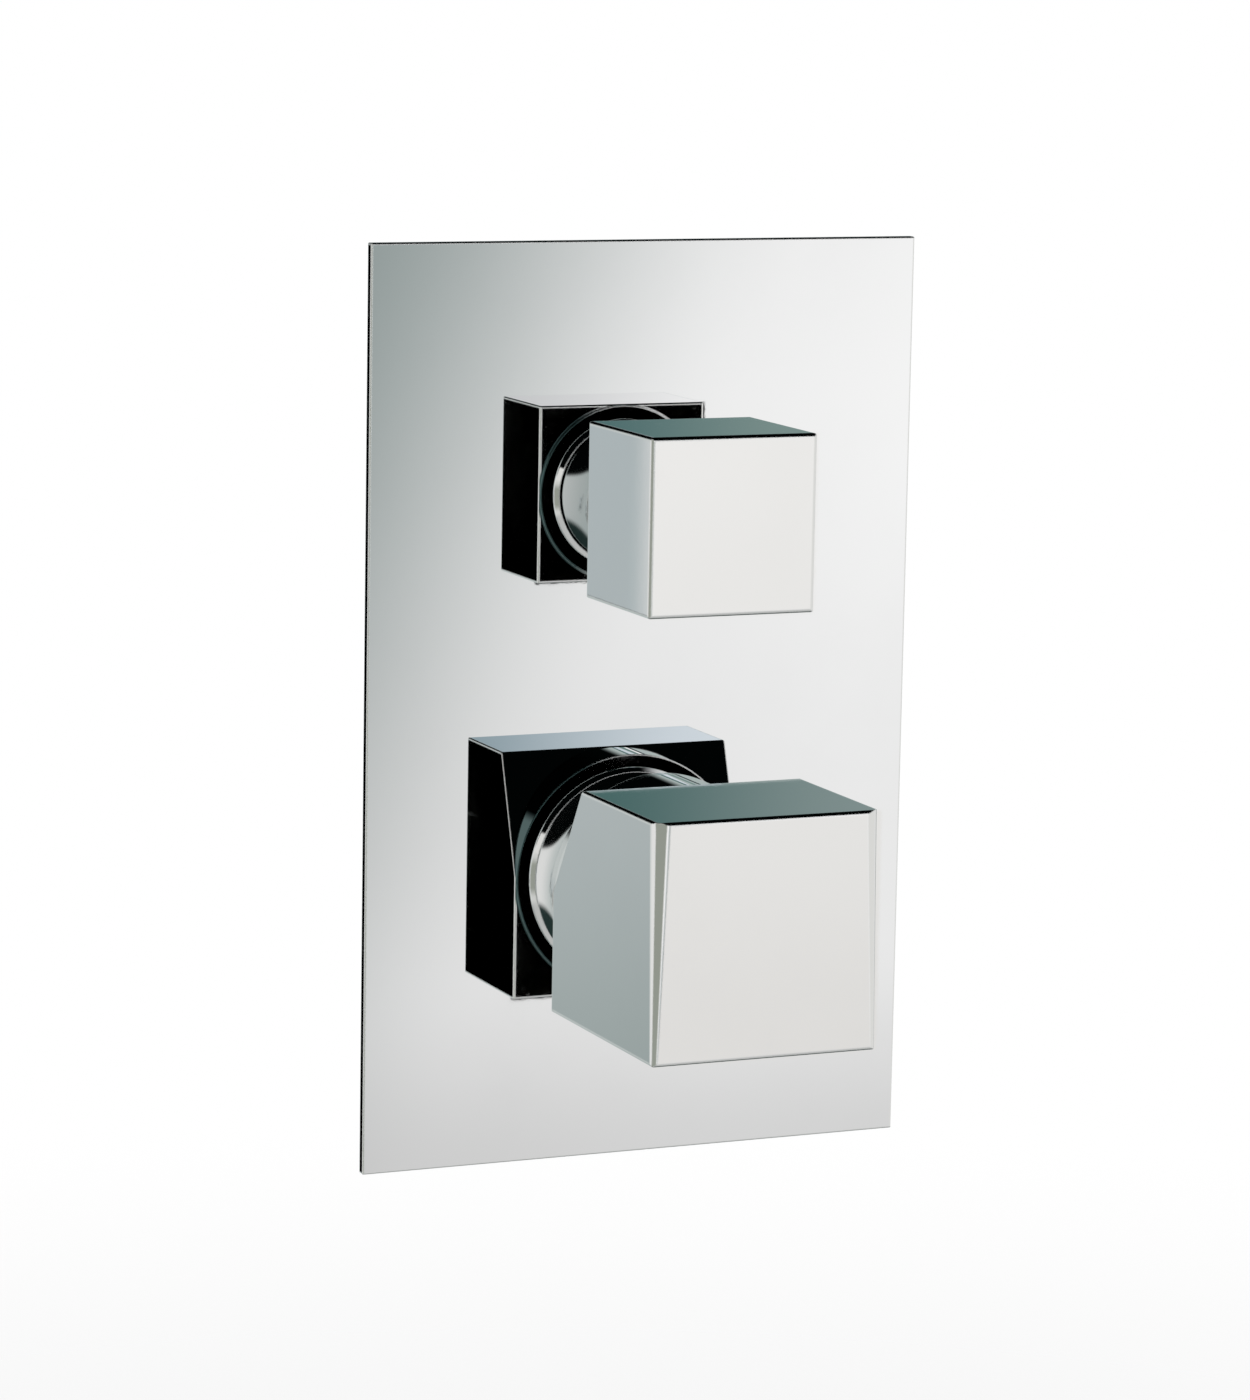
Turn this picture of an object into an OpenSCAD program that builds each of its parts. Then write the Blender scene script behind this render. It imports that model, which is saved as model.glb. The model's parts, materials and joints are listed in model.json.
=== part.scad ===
// Concealed twin-handle thermostatic shower mixer: wall plate, square handles on round necks,
// and the brass valve that sits in the wall behind the plate.
// Frame: X to the right, +Y into the wall, +Z up. The origin is the middle of the wall plate
// on the finished wall. The two spindles point out of the wall, along -Y.
// In the spindle frames "out" is the distance in front of the finished wall.

/* [Wall plate] */
// Width of the wall plate
plate_w = 139; // [130:1:180]
// Height of the wall plate
plate_h = 220; // [210:1:280]
// Thickness of the wall plate
plate_t = 2.5; // [2:0.25:4]
// Rounding of the plate's edges
plate_edge_r = 0.35; // [0.2:0.05:0.8]
// Thickness of the foam seal once pressed against the wall
seal_t = 1; // [0.5:0.1:2.5]
// Width of the foam seal's band
seal_band = 9; // [5:1:12]
// Distance from the plate's outline to the foam seal
seal_inset = 2.5; // [1:0.5:5]

/* [Handle layout] */
// Distance of both spindles from the plate's middle line, negative to the left
spindle_x = -16; // [-18:1:18]
// Height of the temperature spindle above the plate's middle
temperature_z = -34.5; // [-40:0.5:-30]
// Distance between the two spindles
spindle_pitch = 88; // [84:1:96]
// Gap between a turning neck and the collar behind it
turn_gap = 0.3; // [0.2:0.05:0.5]
// Visible gap between a neck's flange and the knob
knob_gap = 1.6; // [1:0.1:2.5]
// Height of the round discs above the faces of the bosses
disc_rise = 0.5; // [0.3:0.1:1]
// Height of the collars above the discs
collar_rise = 1.4; // [1.2:0.1:2]
// Width of the bevel round each collar
collar_bevel = 0.9; // [0.4:0.1:1.2]

/* [Flow handle] */
// Side of the square flow knob
flow_knob_side = 40; // [38:0.5:48]
// Depth of the flow knob
flow_knob_depth = 35.5; // [32:0.5:45]
// Side of the square flow boss
flow_boss_side = 41; // [40:0.5:48]
// Depth of the flow boss
flow_boss_depth = 23; // [18:0.5:30]
// Radius of the round disc on the flow boss
flow_disc_r = 20.3; // [18.5:0.1:20.4]
// Radius of the flow collar
flow_collar_r = 17.2; // [16.6:0.1:18]
// Length of the flow neck
flow_neck_len = 23.7; // [20:0.1:30]
// Radius of the flow neck at its foot
flow_neck_foot_r = 15.6; // [15:0.1:16.5]
// Radius of the flow neck at its waist
flow_neck_waist_r = 14.6; // [14:0.1:15.5]
// Radius of the flow neck's flange behind the knob
flow_flange_r = 19.4; // [18:0.1:19.8]

/* [Temperature handle] */
// Side of the square temperature knob
temperature_knob_side = 54; // [52:0.5:60]
// Depth of the temperature knob along its lower half
temperature_knob_depth = 58; // [50:0.5:70]
// How far the top of the temperature knob's back leans forward
temperature_knob_rake = 16.5; // [10:0.5:20]
// Side of the square temperature boss
temperature_boss_side = 56.5; // [55.5:0.5:62]
// Depth of the temperature boss along its lower half
temperature_boss_depth = 31; // [27:0.5:38]
// Depth of the temperature boss at its top
temperature_boss_top_depth = 21.5; // [18:0.5:24]
// Radius of the round disc on the temperature boss
temperature_disc_r = 28; // [26:0.1:28.2]
// Radius of the temperature collar
temperature_collar_r = 25; // [24.6:0.1:25.6]
// Length of the temperature neck along its lower half
temperature_neck_len = 15.7; // [13:0.1:22]
// Radius of the temperature neck at its foot
temperature_neck_foot_r = 24; // [23.5:0.1:24.4]
// Radius of the temperature neck at its waist
temperature_neck_waist_r = 22.8; // [22.5:0.1:23.4]
// Radius of the temperature neck's flange behind the knob
temperature_flange_r = 26.4; // [25:0.1:26.8]

/* [Edges and walls] */
// Rounding of the flow knob's edges
flow_knob_edge_r = 0.8; // [0.4:0.1:1.5]
// Rounding of the temperature knob's edges
temperature_knob_edge_r = 0.8; // [0.4:0.1:1.5]
// Rounding of the temperature knob's upright front edges at the bottom
front_edge_low_r = 1.3; // [0.9:0.1:2]
// Rounding of the temperature knob's upright front edges at the top
front_edge_high_r = 3.4; // [2.2:0.1:4]
// Rounding of the bosses' edges
boss_edge_r = 0.4; // [0.2:0.05:0.8]
// Wall thickness of the bosses
boss_wall = 3; // [2.6:0.1:3.4]
// Width of the square seals under the bosses
boss_seal_w = 1.3; // [1:0.1:1.4]
// Thickness of the square seals under the bosses
boss_seal_t = 1; // [0.8:0.1:1.4]

/* [Valve body] */
// Distance of the valve body's front face behind the finished wall
body_setback = 12; // [11:0.5:20]
// Depth of the valve body
body_depth = 50; // [50:0.5:56]
// Outer radius of the thermostat chamber
thermostat_chamber_r = 23; // [22.5:0.1:24]
// Outer radius of the flow chamber
flow_chamber_r = 17; // [16.5:0.1:18.5]
// Thickness of the chambers' back walls
chamber_floor = 4; // [3:0.5:4]
// Bore of the thermostat chamber, as a radius
thermostat_bore_r = 17; // [16.8:0.1:17.5]
// Bore of the flow chamber, as a radius
flow_bore_r = 10.5; // [10.2:0.1:11]
// Radius of the thermostat chamber's threaded mouth
thermostat_mouth_r = 19.6; // [19.4:0.1:20]
// Depth of the thermostat chamber's threaded mouth
thermostat_mouth_depth = 8; // [7:0.5:9]
// Radius of the flow chamber's threaded mouth
flow_mouth_r = 13; // [12.8:0.1:13.5]
// Depth of the flow chamber's threaded mouth
flow_mouth_depth = 12.3; // [12.3:0.1:14]
// Depth of the flow cartridge's seat below the body's front face
flow_seat_depth = 32; // [32:0.5:34]
// Radius of the outlet's and inlets' pipe threads
pipe_thread_r = 9.5; // [9:0.1:10]
// Depth of the outlet's and inlets' pipe threads
pipe_thread_depth = 14; // [12:0.5:16]
// Width across the flats of the pipe ends
pipe_hex = 27; // [26:0.5:28]
// Height of the outlet's end above the plate's middle
outlet_z = 92; // [86:1:98]
// Height of the inlets' ends below the plate's middle
inlet_drop = 92; // [88:1:100]
// Distance between the two inlets
inlet_pitch = 48; // [47:0.5:52]
// Outer radius of the inlet tubes
inlet_tube_r = 13.5; // [12.5:0.1:14]
// Bore of the inlet tubes above the threads, as a radius
inlet_bore_r = 8.5; // [8:0.1:8.7]
// Radius of the ports from the inlets into the thermostat chamber
port_r = 4.5; // [3.5:0.1:5]
// Distance between the wall-fixing holes across the valve
lug_pitch_x = 46; // [44:1:60]
// Distance between the wall-fixing holes up the valve
lug_pitch_z = 55; // [50:1:60]
// Radius of the wall-fixing holes
lug_hole_r = 2.75; // [2:0.05:3.2]
// Thickness of the fixing ears
lug_t = 5; // [4:0.5:7]
// Radius of the fixing ears
lug_r = 6; // [5.5:0.5:8]

/* [Sleeves and collars] */
// Inner radius of the flow sleeve
flow_sleeve_bore_r = 11.3; // [11:0.1:11.6]
// Wall thickness of the flow sleeve
flow_sleeve_wall = 2.2; // [1.6:0.1:2.4]
// Inner radius of the temperature sleeve
temperature_sleeve_bore_r = 15.7; // [15.5:0.1:16]
// Wall thickness of the temperature sleeve
temperature_sleeve_wall = 2.3; // [1.6:0.1:2.5]
// Length of thread by which the sleeves hold on the valve body
sleeve_thread = 7; // [5:0.5:7]
// Wall thickness of the sleeves' cups over the valve body
cup_wall = 3; // [2:0.1:3.5]
// Radial space left round sleeves where they pass through the plate
plate_hole_gap = 1; // [0.4:0.1:2]
// Wall thickness of the collars' threaded spigots
collar_wall = 2; // [1.6:0.1:2.2]

/* [Flow cartridge] */
// Radius of the flow spindle
flow_spindle_r = 5; // [4.6:0.1:5.2]
// Thickness of the ceramic discs
disc_t = 3; // [2.5:0.1:3.2]
// Wall thickness of the cartridge's cage
cage_wall = 1.1; // [0.9:0.1:1.3]
// Thickness of the rubber seal under the fixed disc
seat_seal_t = 2; // [1.8:0.1:2.2]
// Width across the flats of the headwork
headwork_hex = 24; // [22:0.5:26]
// Radius of the headwork's nose
headwork_nose_r = 9; // [8.5:0.1:9.5]
// Turn of the flow handle from closed to fully open, in degrees
flow_turn = 90; // [60:5:100]

/* [Thermostat] */
// Radius of the cage's spigot
thermostat_cage_r = 16.8; // [16.6:0.1:16.9]
// Radius of the temperature spindle
temperature_spindle_r = 5.5; // [5.2:0.1:6]
// Thickness of the flange that the gland nut clamps
cage_flange_t = 3; // [2.5:0.1:3.5]
// Width across the flats of the pusher
pusher_hex = 14; // [13.6:0.1:14.4]
// Turn from the rest mark down to full cold, in degrees
cold_turn = 180; // [90:5:200]
// Turn from the rest mark up to full hot, in degrees
hot_turn = 60; // [20:5:90]
// Travel of the pusher in one full turn of the spindle
spindle_lead = 2.4; // [1.6:0.1:2.6]
// Wire diameter of the thermostat's return spring
return_wire = 1.3; // [1:0.1:1.5]
// Mean radius of the return spring
return_spring_r = 8.2; // [8:0.1:8.6]
// Number of turns of the return spring
return_turns = 5; // [4:1:6]

/* [Check valves] */
// Height of each check valve's housing
check_len = 18; // [17:0.5:20]
// Radius of the housing's water way
check_way_r = 5.2; // [4.8:0.1:5.6]
// Radius of the poppets
poppet_r = 6.3; // [6:0.1:6.5]
// Lift of the poppets from their seats
poppet_lift = 3; // [2:0.5:3.5]
// Wire diameter of the check valves' springs
check_wire = 0.6; // [0.5:0.05:0.7]
// Mean radius of the check valves' springs
check_spring_r = 3.6; // [3.3:0.1:4]
// Number of turns of the check valves' springs
check_turns = 5; // [4:1:6]

/* [Fits] */
// Radial clearance of turning and sliding fits
run_fit = 0.05; // [0.03:0.01:0.1]
// Radial clearance of screwed and seated parts
seat_fit = 0.05; // [0.03:0.01:0.1]

/* [Hidden] */
$fn = 96;
TINY = 0.02;
OVER = 1;
// Colours as the photograph shows the trim; the hidden pieces have their materials' usual colours
CHROME = "#c9cdd0";
BRASS = "#b89a5a";
STEEL = "#a9adb2";
RUBBER = "#22242a";
CERAMIC = "#ece9e2";
NYLON = "#d7d8d4";
FOAM = "#3a3c40";
COPPER = "#b4683c";

flow_z = temperature_z + spindle_pitch;
plate_front = seal_t + plate_t;

// Stack of the flow handle, as distances in front of the wall
flow_boss_front = plate_front + flow_boss_depth;
flow_disc_front = flow_boss_front + disc_rise;
flow_collar_front = flow_disc_front + collar_rise;
flow_neck_rear = flow_collar_front + turn_gap;
flow_flange_front = flow_neck_rear + flow_neck_len;
flow_knob_back = flow_flange_front + knob_gap;
flow_knob_front = flow_knob_back + flow_knob_depth;

// Stack of the temperature handle
temperature_boss_front = plate_front + temperature_boss_depth;
temperature_boss_top = plate_front + temperature_boss_top_depth;
temperature_disc_front = temperature_boss_front + disc_rise;
temperature_collar_front = temperature_disc_front + collar_rise;
temperature_neck_rear = temperature_collar_front + turn_gap;
temperature_flange_front = temperature_neck_rear + temperature_neck_len;
temperature_knob_back = temperature_flange_front + knob_gap;
temperature_knob_front = temperature_knob_back + temperature_knob_depth;

// Depths in the wall
body_front = -body_setback;
body_back = body_front - body_depth;
chamber_end = body_back + chamber_floor;

// Sleeves: a cup screwed over the chamber's outside, a web, and a tube out to the collar
cup_gap = 6;
cup_web = 3;
cup_front = body_front + cup_gap + cup_web;
flow_sleeve_r = flow_sleeve_bore_r + flow_sleeve_wall;
temperature_sleeve_r = temperature_sleeve_bore_r + temperature_sleeve_wall;
collar_lip = 0.8;
flow_spigot_r = flow_sleeve_r + seat_fit + collar_wall;
temperature_spigot_r = temperature_sleeve_r + seat_fit + collar_wall;

// Hubs, pockets and splined inserts of the handles
flow_hub_r = 12;
temperature_hub_r = 16;
flow_hub_depth = 10;
temperature_hub_depth = 12;
pocket_step = 2;
knob_face = 8;
flow_insert_r = 9;
temperature_insert_r = 12;
insert_len = 16;
flow_rod_r = 6;
temperature_rod_r = 7;
flow_spline_r = 5.2;
temperature_spline_r = 6.2;
spline_teeth = 20;
spline_depth = 0.5;
flow_hub_front = flow_knob_back + flow_hub_depth;
temperature_hub_front = temperature_knob_back + temperature_hub_depth;
insert_inset = 1;

// Necks
neck_steps = 24;
neck_waist = 0.38;
neck_flare = 2.4;
neck_rim = 1;
neck_web = 6;
neck_wall = 2.4;

// Grub screws that hold the knobs on their hubs
flow_grub_r = 2;
temperature_grub_r = 2.5;
grub_recess = 2;
grub_socket = 2.5;
grub_offset = 5;
flow_grub_out = flow_knob_back + grub_offset;
temperature_grub_out = temperature_knob_back + grub_offset;

// Small trim of the plate, bosses and sleeves
seal_corner_r = 3;
boss_inner_r = 2;
collar_spigot = 4.5;
cup_bevel = 1;

// Clearances along the spindles, and the shared stops and clips
play = 0.1;
stop_tab = 20;
tab_clear = 0.5;
clip_t = 0.8;
clip_groove = 0.8;
clip_proud = 1.6;
clip_mouth = 60;
clip_room = 0.6;
spindle_seal_r = 0.5;
tip_spline_len = 10;
tip_step = 0.4;
flow_socket_r = 7.6;
temperature_socket_r = 9.2;
tab_gap = 0.3;
socket_floor = 4;
socket_room = 1;

// Flow cartridge
flow_seat = body_front - flow_seat_depth;
seat_ledge = 3;
seal_groove = 2.2;
cage_skirt = 0.5;
cage_window_w = 10;
disc_rim = 1.6;
disc_core_r = 2.2;
way_half = 38;
drive_lug_w = 3;
drive_lug_len = 2;
drive_lug_rim = 1.2;
drive_lug_t = 1.5;
spindle_flange_t = 2.5;
headwork_hex_t = 5;
headwork_nose_len = 12;
stop_len = 3;

// Water ways of the valve body
cage_seat = body_front - thermostat_mouth_depth;
cold_out = cage_seat - 8;
hot_out = cage_seat - 20;
inlet_out = (cold_out + hot_out) / 2;
inlet_top = temperature_z + 8.5;
inlet_cap = 4;
outlet_out = flow_seat + 11;
inlet_thread_end = -inlet_drop + pipe_thread_depth;
outlet_way_r = 6;
gallery_r = 12.4;
link_out = chamber_end + 5.5;
link_way_r = 4.5;
link_wall = 3.5;
rib_depth = 9;

// Thermostat
cage_bore_r = 13.2;
cage_window_r = 2;
cage_seal_r = 1;
cold_gap = 0.9;
hot_gap = 1.6;
shuttle_len = 15.5;
shuttle_wall = 1.6;
shuttle_recess = 5;
shuttle_web_t = 2.5;
web_circle_r = 10.2;
web_hole_r = 1.1;
end_ring_r = 14;
end_ring_t = 4.6;
end_way_r = 7;
ledge_t = 1.6;
wrench_circle_r = 11.4;
wrench_hole_r = 1.2;
spring_room = 0.6;
element_flange_r = 8.6;
element_r = 6.4;
bulb_r = 4.5;
piston_r = 1.8;
pusher_floor_t = 1.6;
pusher_travel = 3.5;
spindle_collar_r = 7.25;
spindle_collar_t = 3;
head_r = 11;
head_len = 18;
gland_gap = 0.3;
gland_hex = 36;
nut_flange_t = 5;
key_sides = 12;
stop_ring_t = 8;
stop_ring_gap = 0.8;
stop_height = 4;
stop_web = 2;

// Coils of wire: rings in a turn, and sides of the wire
coil_rings = 8;
coil_sides = 6;

// Check valves and strainers
check_seat_t = 4;
check_wall = 1.2;
poppet_t = 1.4;
stem_r = 1.4;
spider_t = 2;
spider_window = 64;
strainer_len = 10;
strainer_rim_t = 1.2;
strainer_rim = 0.5;
strainer_wall = 0.8;
strainer_gap = 0.6;
strainer_slot_w = 1.6;
strainer_seat = inlet_thread_end + strainer_rim_t;
strainer_rim_r = inlet_bore_r + strainer_rim;

function unit(v) = v / norm(v);

// Points of the arc that rounds the corner b of an outline a, b, c
function corner_arc(a, b, c, r, steps) =
  let (u = unit(a - b), w = unit(c - b),
       half = acos(u * w) / 2,
       centre = b + unit(u + w) * r / sin(half),
       from = b + u * r / tan(half) - centre,
       to = b + w * r / tan(half) - centre,
       start = atan2(from.y, from.x),
       sweep = ((atan2(to.y, to.x) - start + 540) % 360) - 180)
  [for (i = [0:steps]) centre + r * [cos(start + sweep * i / steps), sin(start + sweep * i / steps)]];

// Outline with every corner rounded
function rounded(points, r, steps = 6) =
  [for (i = [0:len(points) - 1])
    each corner_arc(points[(i + len(points) - 1) % len(points)], points[i],
                    points[(i + 1) % len(points)], r, steps)];

// Places a piece drawn along +Z on a spindle, with +Z pointing out of the wall
module on_spindle(z) {
  translate([spindle_x, 0, z]) rotate([90, 0, 0]) children();
}

// A turned piece: its half profile is given as [radius, out] points
module turned(points) {
  rotate_extrude() polygon(points);
}

module tube(outer, inner, from, to) {
  difference() {
    translate([0, 0, from]) cylinder(r = outer, h = to - from);
    translate([0, 0, from - OVER]) cylinder(r = inner, h = to - from + 2 * OVER);
  }
}

module rod(r, from, to) {
  translate([0, 0, from]) cylinder(r = r, h = to - from);
}

module hex_rod(across, from, to) {
  translate([0, 0, from]) rotate([0, 0, 30]) cylinder(d = across / cos(30), h = to - from, $fn = 6);
}

module ring_seal(centre_r, section_r, out) {
  translate([0, 0, out]) rotate_extrude() translate([centre_r, 0]) circle(r = section_r, $fn = 32);
}

// Flat square with true round corners
module soft_square(side_x, side_y, r) {
  square([side_x - 2 * r, side_y], center = true);
  square([side_x, side_y - 2 * r], center = true);
  for (sx = [-1, 1], sy = [-1, 1])
    translate([sx * (side_x / 2 - r), sy * (side_y / 2 - r)]) circle(r = r, $fn = 32);
}

// Sector of a circle from angle a to angle b, less than a full turn
module sector(r, a, b) {
  steps = 12;
  rim = [for (i = [0:steps]) let (turn = a + (b - a) * i / steps) 2 * r * [cos(turn), sin(turn)]];
  polygon(concat([[0, 0]], rim));
}

module ring_sector(outer, inner, a, b) {
  intersection() {
    difference() {
      circle(r = outer);
      circle(r = inner);
    }
    sector(outer, a, b);
  }
}

// Outline of a fine spline: teeth with straight flanks round a root circle
function spline_outline(root, teeth, depth) =
  [for (i = [0:teeth - 1], k = [0:3])
    let (pitch = 360 / teeth,
         angle = (i + [-0.32, -0.16, 0.16, 0.32][k]) * pitch,
         r = root + (k == 1 || k == 2 ? depth : 0))
    r * [cos(angle), sin(angle)]];

module spline(root, from, to) {
  translate([0, 0, from]) linear_extrude(to - from)
    polygon(spline_outline(root, spline_teeth, spline_depth));
}

// Block with all its edges rounded: side view, front view and plan cut each other
module soft_block(side_x, side_y, from, to, r) {
  middle = (from + to) / 2;
  depth = to - from;
  intersection() {
    translate([0, 0, from - OVER]) linear_extrude(depth + 2 * OVER) soft_square(side_x, side_y, r);
    translate([0, 0, middle]) rotate([90, 0, 0])
      linear_extrude(side_y + 2 * OVER, center = true) soft_square(side_x, depth, r);
    translate([0, 0, middle]) rotate([0, 90, 0])
      linear_extrude(side_x + 2 * OVER, center = true) soft_square(depth, side_y, r);
  }
}

// Prism whose side outline is given as [up, out] points, centred across X
module side_prism(points, width) {
  rotate([0, -90, 0]) linear_extrude(width, center = true) polygon([for (p = points) [p.y, p.x]]);
}

// What a rounding that grows along an upright edge takes away.
// The edge is at x = 0, y = 0 and runs along +Z. The material lies towards +X and +Y.
module growing_edge(low_r, high_r, length) {
  slope = (high_r - low_r) / length;
  apex = -low_r / slope;
  lean = atan(slope * sqrt(2));
  spread = asin(sin(lean) / sqrt(2));
  reach = (length + 2 * OVER - apex) / cos(lean);
  big = 4 * high_r;
  cut = acos(-slope / sqrt(2 + slope * slope));
  difference() {
    intersection() {
      translate([-OVER, -OVER, -OVER]) cube([big, big, length + 2 * OVER]);
      translate([0, 0, apex]) rotate([0, cut, 45])
        translate([-reach * 2, -reach * 2, -reach * 2]) cube([reach * 4, reach * 4, reach * 2]);
    }
    translate([0, 0, apex]) rotate([0, lean, 45]) cylinder(r1 = 0, r2 = reach * tan(spread), h = reach);
  }
}

/* Wall plate */

module wall_plate() {
  color(CHROME) rotate([90, 0, 0]) difference() {
    soft_block(plate_w, plate_h, seal_t, plate_front, plate_edge_r);
    translate([spindle_x, flow_z, 0])
      rod(flow_sleeve_r + plate_hole_gap, seal_t - OVER, plate_front + OVER);
    translate([spindle_x, temperature_z, 0])
      rod(temperature_sleeve_r + plate_hole_gap, seal_t - OVER, plate_front + OVER);
  }
}

module plate_seal() {
  outer_w = plate_w - 2 * seal_inset;
  outer_h = plate_h - 2 * seal_inset;
  color(FOAM) rotate([90, 0, 0]) linear_extrude(seal_t) difference() {
    soft_square(outer_w, outer_h, seal_corner_r);
    soft_square(outer_w - 2 * seal_band, outer_h - 2 * seal_band, seal_corner_r);
  }
}

/* Bosses, collars and sleeves */

// Groove for the square seal in a boss's rim, and the seal itself when gap is 0
module boss_seal_frame(side, gap) {
  middle = side - boss_wall;
  linear_extrude(boss_seal_t + gap) difference() {
    soft_square(middle + boss_seal_w + 2 * gap, middle + boss_seal_w + 2 * gap, boss_inner_r);
    soft_square(middle - boss_seal_w - 2 * gap, middle - boss_seal_w - 2 * gap,
                boss_inner_r - boss_seal_w);
  }
}

module flow_boss() {
  inner = flow_boss_side - 2 * boss_wall;
  color(CHROME) on_spindle(flow_z) difference() {
    union() {
      soft_block(flow_boss_side, flow_boss_side, plate_front, flow_boss_front, boss_edge_r);
      rod(flow_disc_r, flow_boss_front - boss_wall, flow_disc_front);
    }
    translate([0, 0, plate_front - OVER]) linear_extrude(flow_boss_depth - boss_wall + OVER)
      soft_square(inner, inner, boss_inner_r);
    rod(flow_spigot_r + seat_fit, plate_front, flow_disc_front + OVER);
    translate([0, 0, plate_front - TINY]) boss_seal_frame(flow_boss_side, TINY);
  }
}

module flow_boss_seal() {
  color(RUBBER) on_spindle(flow_z) translate([0, 0, plate_front]) boss_seal_frame(flow_boss_side, 0);
}

// Side outline of the temperature boss, as [up, out] points, drawn in by inset on the outside
function boss_side(inset, back) =
  let (half = temperature_boss_side / 2 - inset)
  [[-half, back], [-half, temperature_boss_front - inset], [0, temperature_boss_front - inset],
   [half, temperature_boss_top - inset], [half, back]];

module temperature_boss() {
  side = temperature_boss_side;
  inner = side - 2 * boss_wall;
  depth = temperature_boss_depth;
  color(CHROME) on_spindle(temperature_z) difference() {
    union() {
      intersection() {
        side_prism(rounded(boss_side(0, plate_front), boss_edge_r), side + OVER);
        soft_block(side, side, plate_front, temperature_boss_front, boss_edge_r);
      }
      intersection() {
        rod(temperature_disc_r, temperature_boss_top - boss_wall, temperature_disc_front);
        translate([-side / 2, -side / 2, 0]) cube([side, side, temperature_disc_front + OVER]);
      }
    }
    intersection() {
      side_prism(boss_side(boss_wall, plate_front - OVER), inner);
      translate([0, 0, plate_front - OVER]) linear_extrude(depth + OVER)
        soft_square(inner, inner, boss_inner_r);
    }
    rod(temperature_spigot_r + seat_fit, plate_front, temperature_disc_front + OVER);
    translate([0, 0, plate_front - TINY]) boss_seal_frame(side, TINY);
  }
}

module temperature_boss_seal() {
  color(RUBBER) on_spindle(temperature_z) translate([0, 0, plate_front])
    boss_seal_frame(temperature_boss_side, 0);
}

// Bevelled ring that screws on a sleeve and clamps boss and plate against the wall
module collar(sleeve_r, spigot_r, collar_r, neck_r, disc_front, front) {
  turned([
    [sleeve_r + seat_fit, disc_front - collar_spigot], [spigot_r, disc_front - collar_spigot],
    [spigot_r, disc_front], [collar_r, disc_front], [collar_r, disc_front + collar_rise - collar_bevel],
    [collar_r - collar_bevel, front], [neck_r, front], [neck_r, front - collar_lip],
    [sleeve_r + seat_fit, front - collar_lip]
  ]);
}

module flow_collar() {
  color(CHROME) on_spindle(flow_z)
    collar(flow_sleeve_r, flow_spigot_r, flow_collar_r, flow_sleeve_bore_r,
           flow_disc_front, flow_collar_front);
}

module temperature_collar() {
  color(CHROME) on_spindle(temperature_z)
    collar(temperature_sleeve_r, temperature_spigot_r, temperature_collar_r, temperature_sleeve_bore_r,
           temperature_disc_front, temperature_collar_front);
}

module sleeve(chamber_r, outer, bore, front) {
  cup_r = chamber_r + seat_fit;
  turned([
    [cup_r, body_front - sleeve_thread], [cup_r + cup_wall, body_front - sleeve_thread],
    [cup_r + cup_wall, cup_front - cup_bevel], [cup_r + cup_wall - cup_bevel, cup_front],
    [outer, cup_front],
    [outer, front], [bore, front], [bore, cup_front - cup_web], [cup_r, cup_front - cup_web]
  ]);
}

module flow_sleeve() {
  color(BRASS) on_spindle(flow_z)
    sleeve(flow_chamber_r, flow_sleeve_r, flow_sleeve_bore_r, flow_collar_front - collar_lip - TINY);
}

module temperature_sleeve() {
  color(BRASS) on_spindle(temperature_z)
    sleeve(thermostat_chamber_r, temperature_sleeve_r, temperature_sleeve_bore_r,
           temperature_collar_front - collar_lip - TINY);
}

/* Handles */

// Side outline of a waisted neck, as [radius, out] points, along one smooth curve
function neck_curve(foot_r, waist_r, flange_r, from, to) =
  [for (i = [0:neck_steps])
    let (s = i / neck_steps,
         below = max(0, 1 - s / neck_waist),
         above = max(0, (s - neck_waist) / (1 - neck_waist)),
         r = waist_r + (foot_r - waist_r) * pow(below, 2) + (flange_r - waist_r) * pow(above, neck_flare))
    [r, from + (to - from) * s]];

module neck_body(foot_r, waist_r, flange_r, rim, from, flange, to, cavity_r, cavity, bore_r) {
  turned(concat(
    [[cavity_r, from]], neck_curve(foot_r, waist_r, flange_r, from, flange - rim),
    [[flange_r, to], [0, to], [0, from + cavity], [cavity_r, from + cavity]]
  ));
}

// Half space behind the temperature knob's raked back, moved back by gap
module behind_rake(gap, width) {
  half = temperature_knob_side / 2;
  far = half * 2;
  rake = temperature_knob_rake / half;
  back = temperature_knob_back - gap;
  side_prism([[-far, -far], [-far, back], [0, back], [far, back + rake * far], [far, -far]], width);
}

module flow_neck() {
  color(CHROME) on_spindle(flow_z) difference() {
    union() {
      neck_body(flow_neck_foot_r, flow_neck_waist_r, flow_flange_r, neck_rim, flow_neck_rear,
                flow_flange_front, flow_flange_front, flow_neck_waist_r - neck_wall,
                flow_neck_len - neck_web, flow_insert_r);
      rod(flow_hub_r, flow_flange_front - OVER, flow_hub_front);
    }
    rod(flow_insert_r + seat_fit, flow_neck_rear, flow_hub_front + OVER);
    grub_hole(flow_grub_r + seat_fit, flow_insert_r - OVER, flow_hub_r + OVER, flow_grub_out);
  }
}

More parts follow.
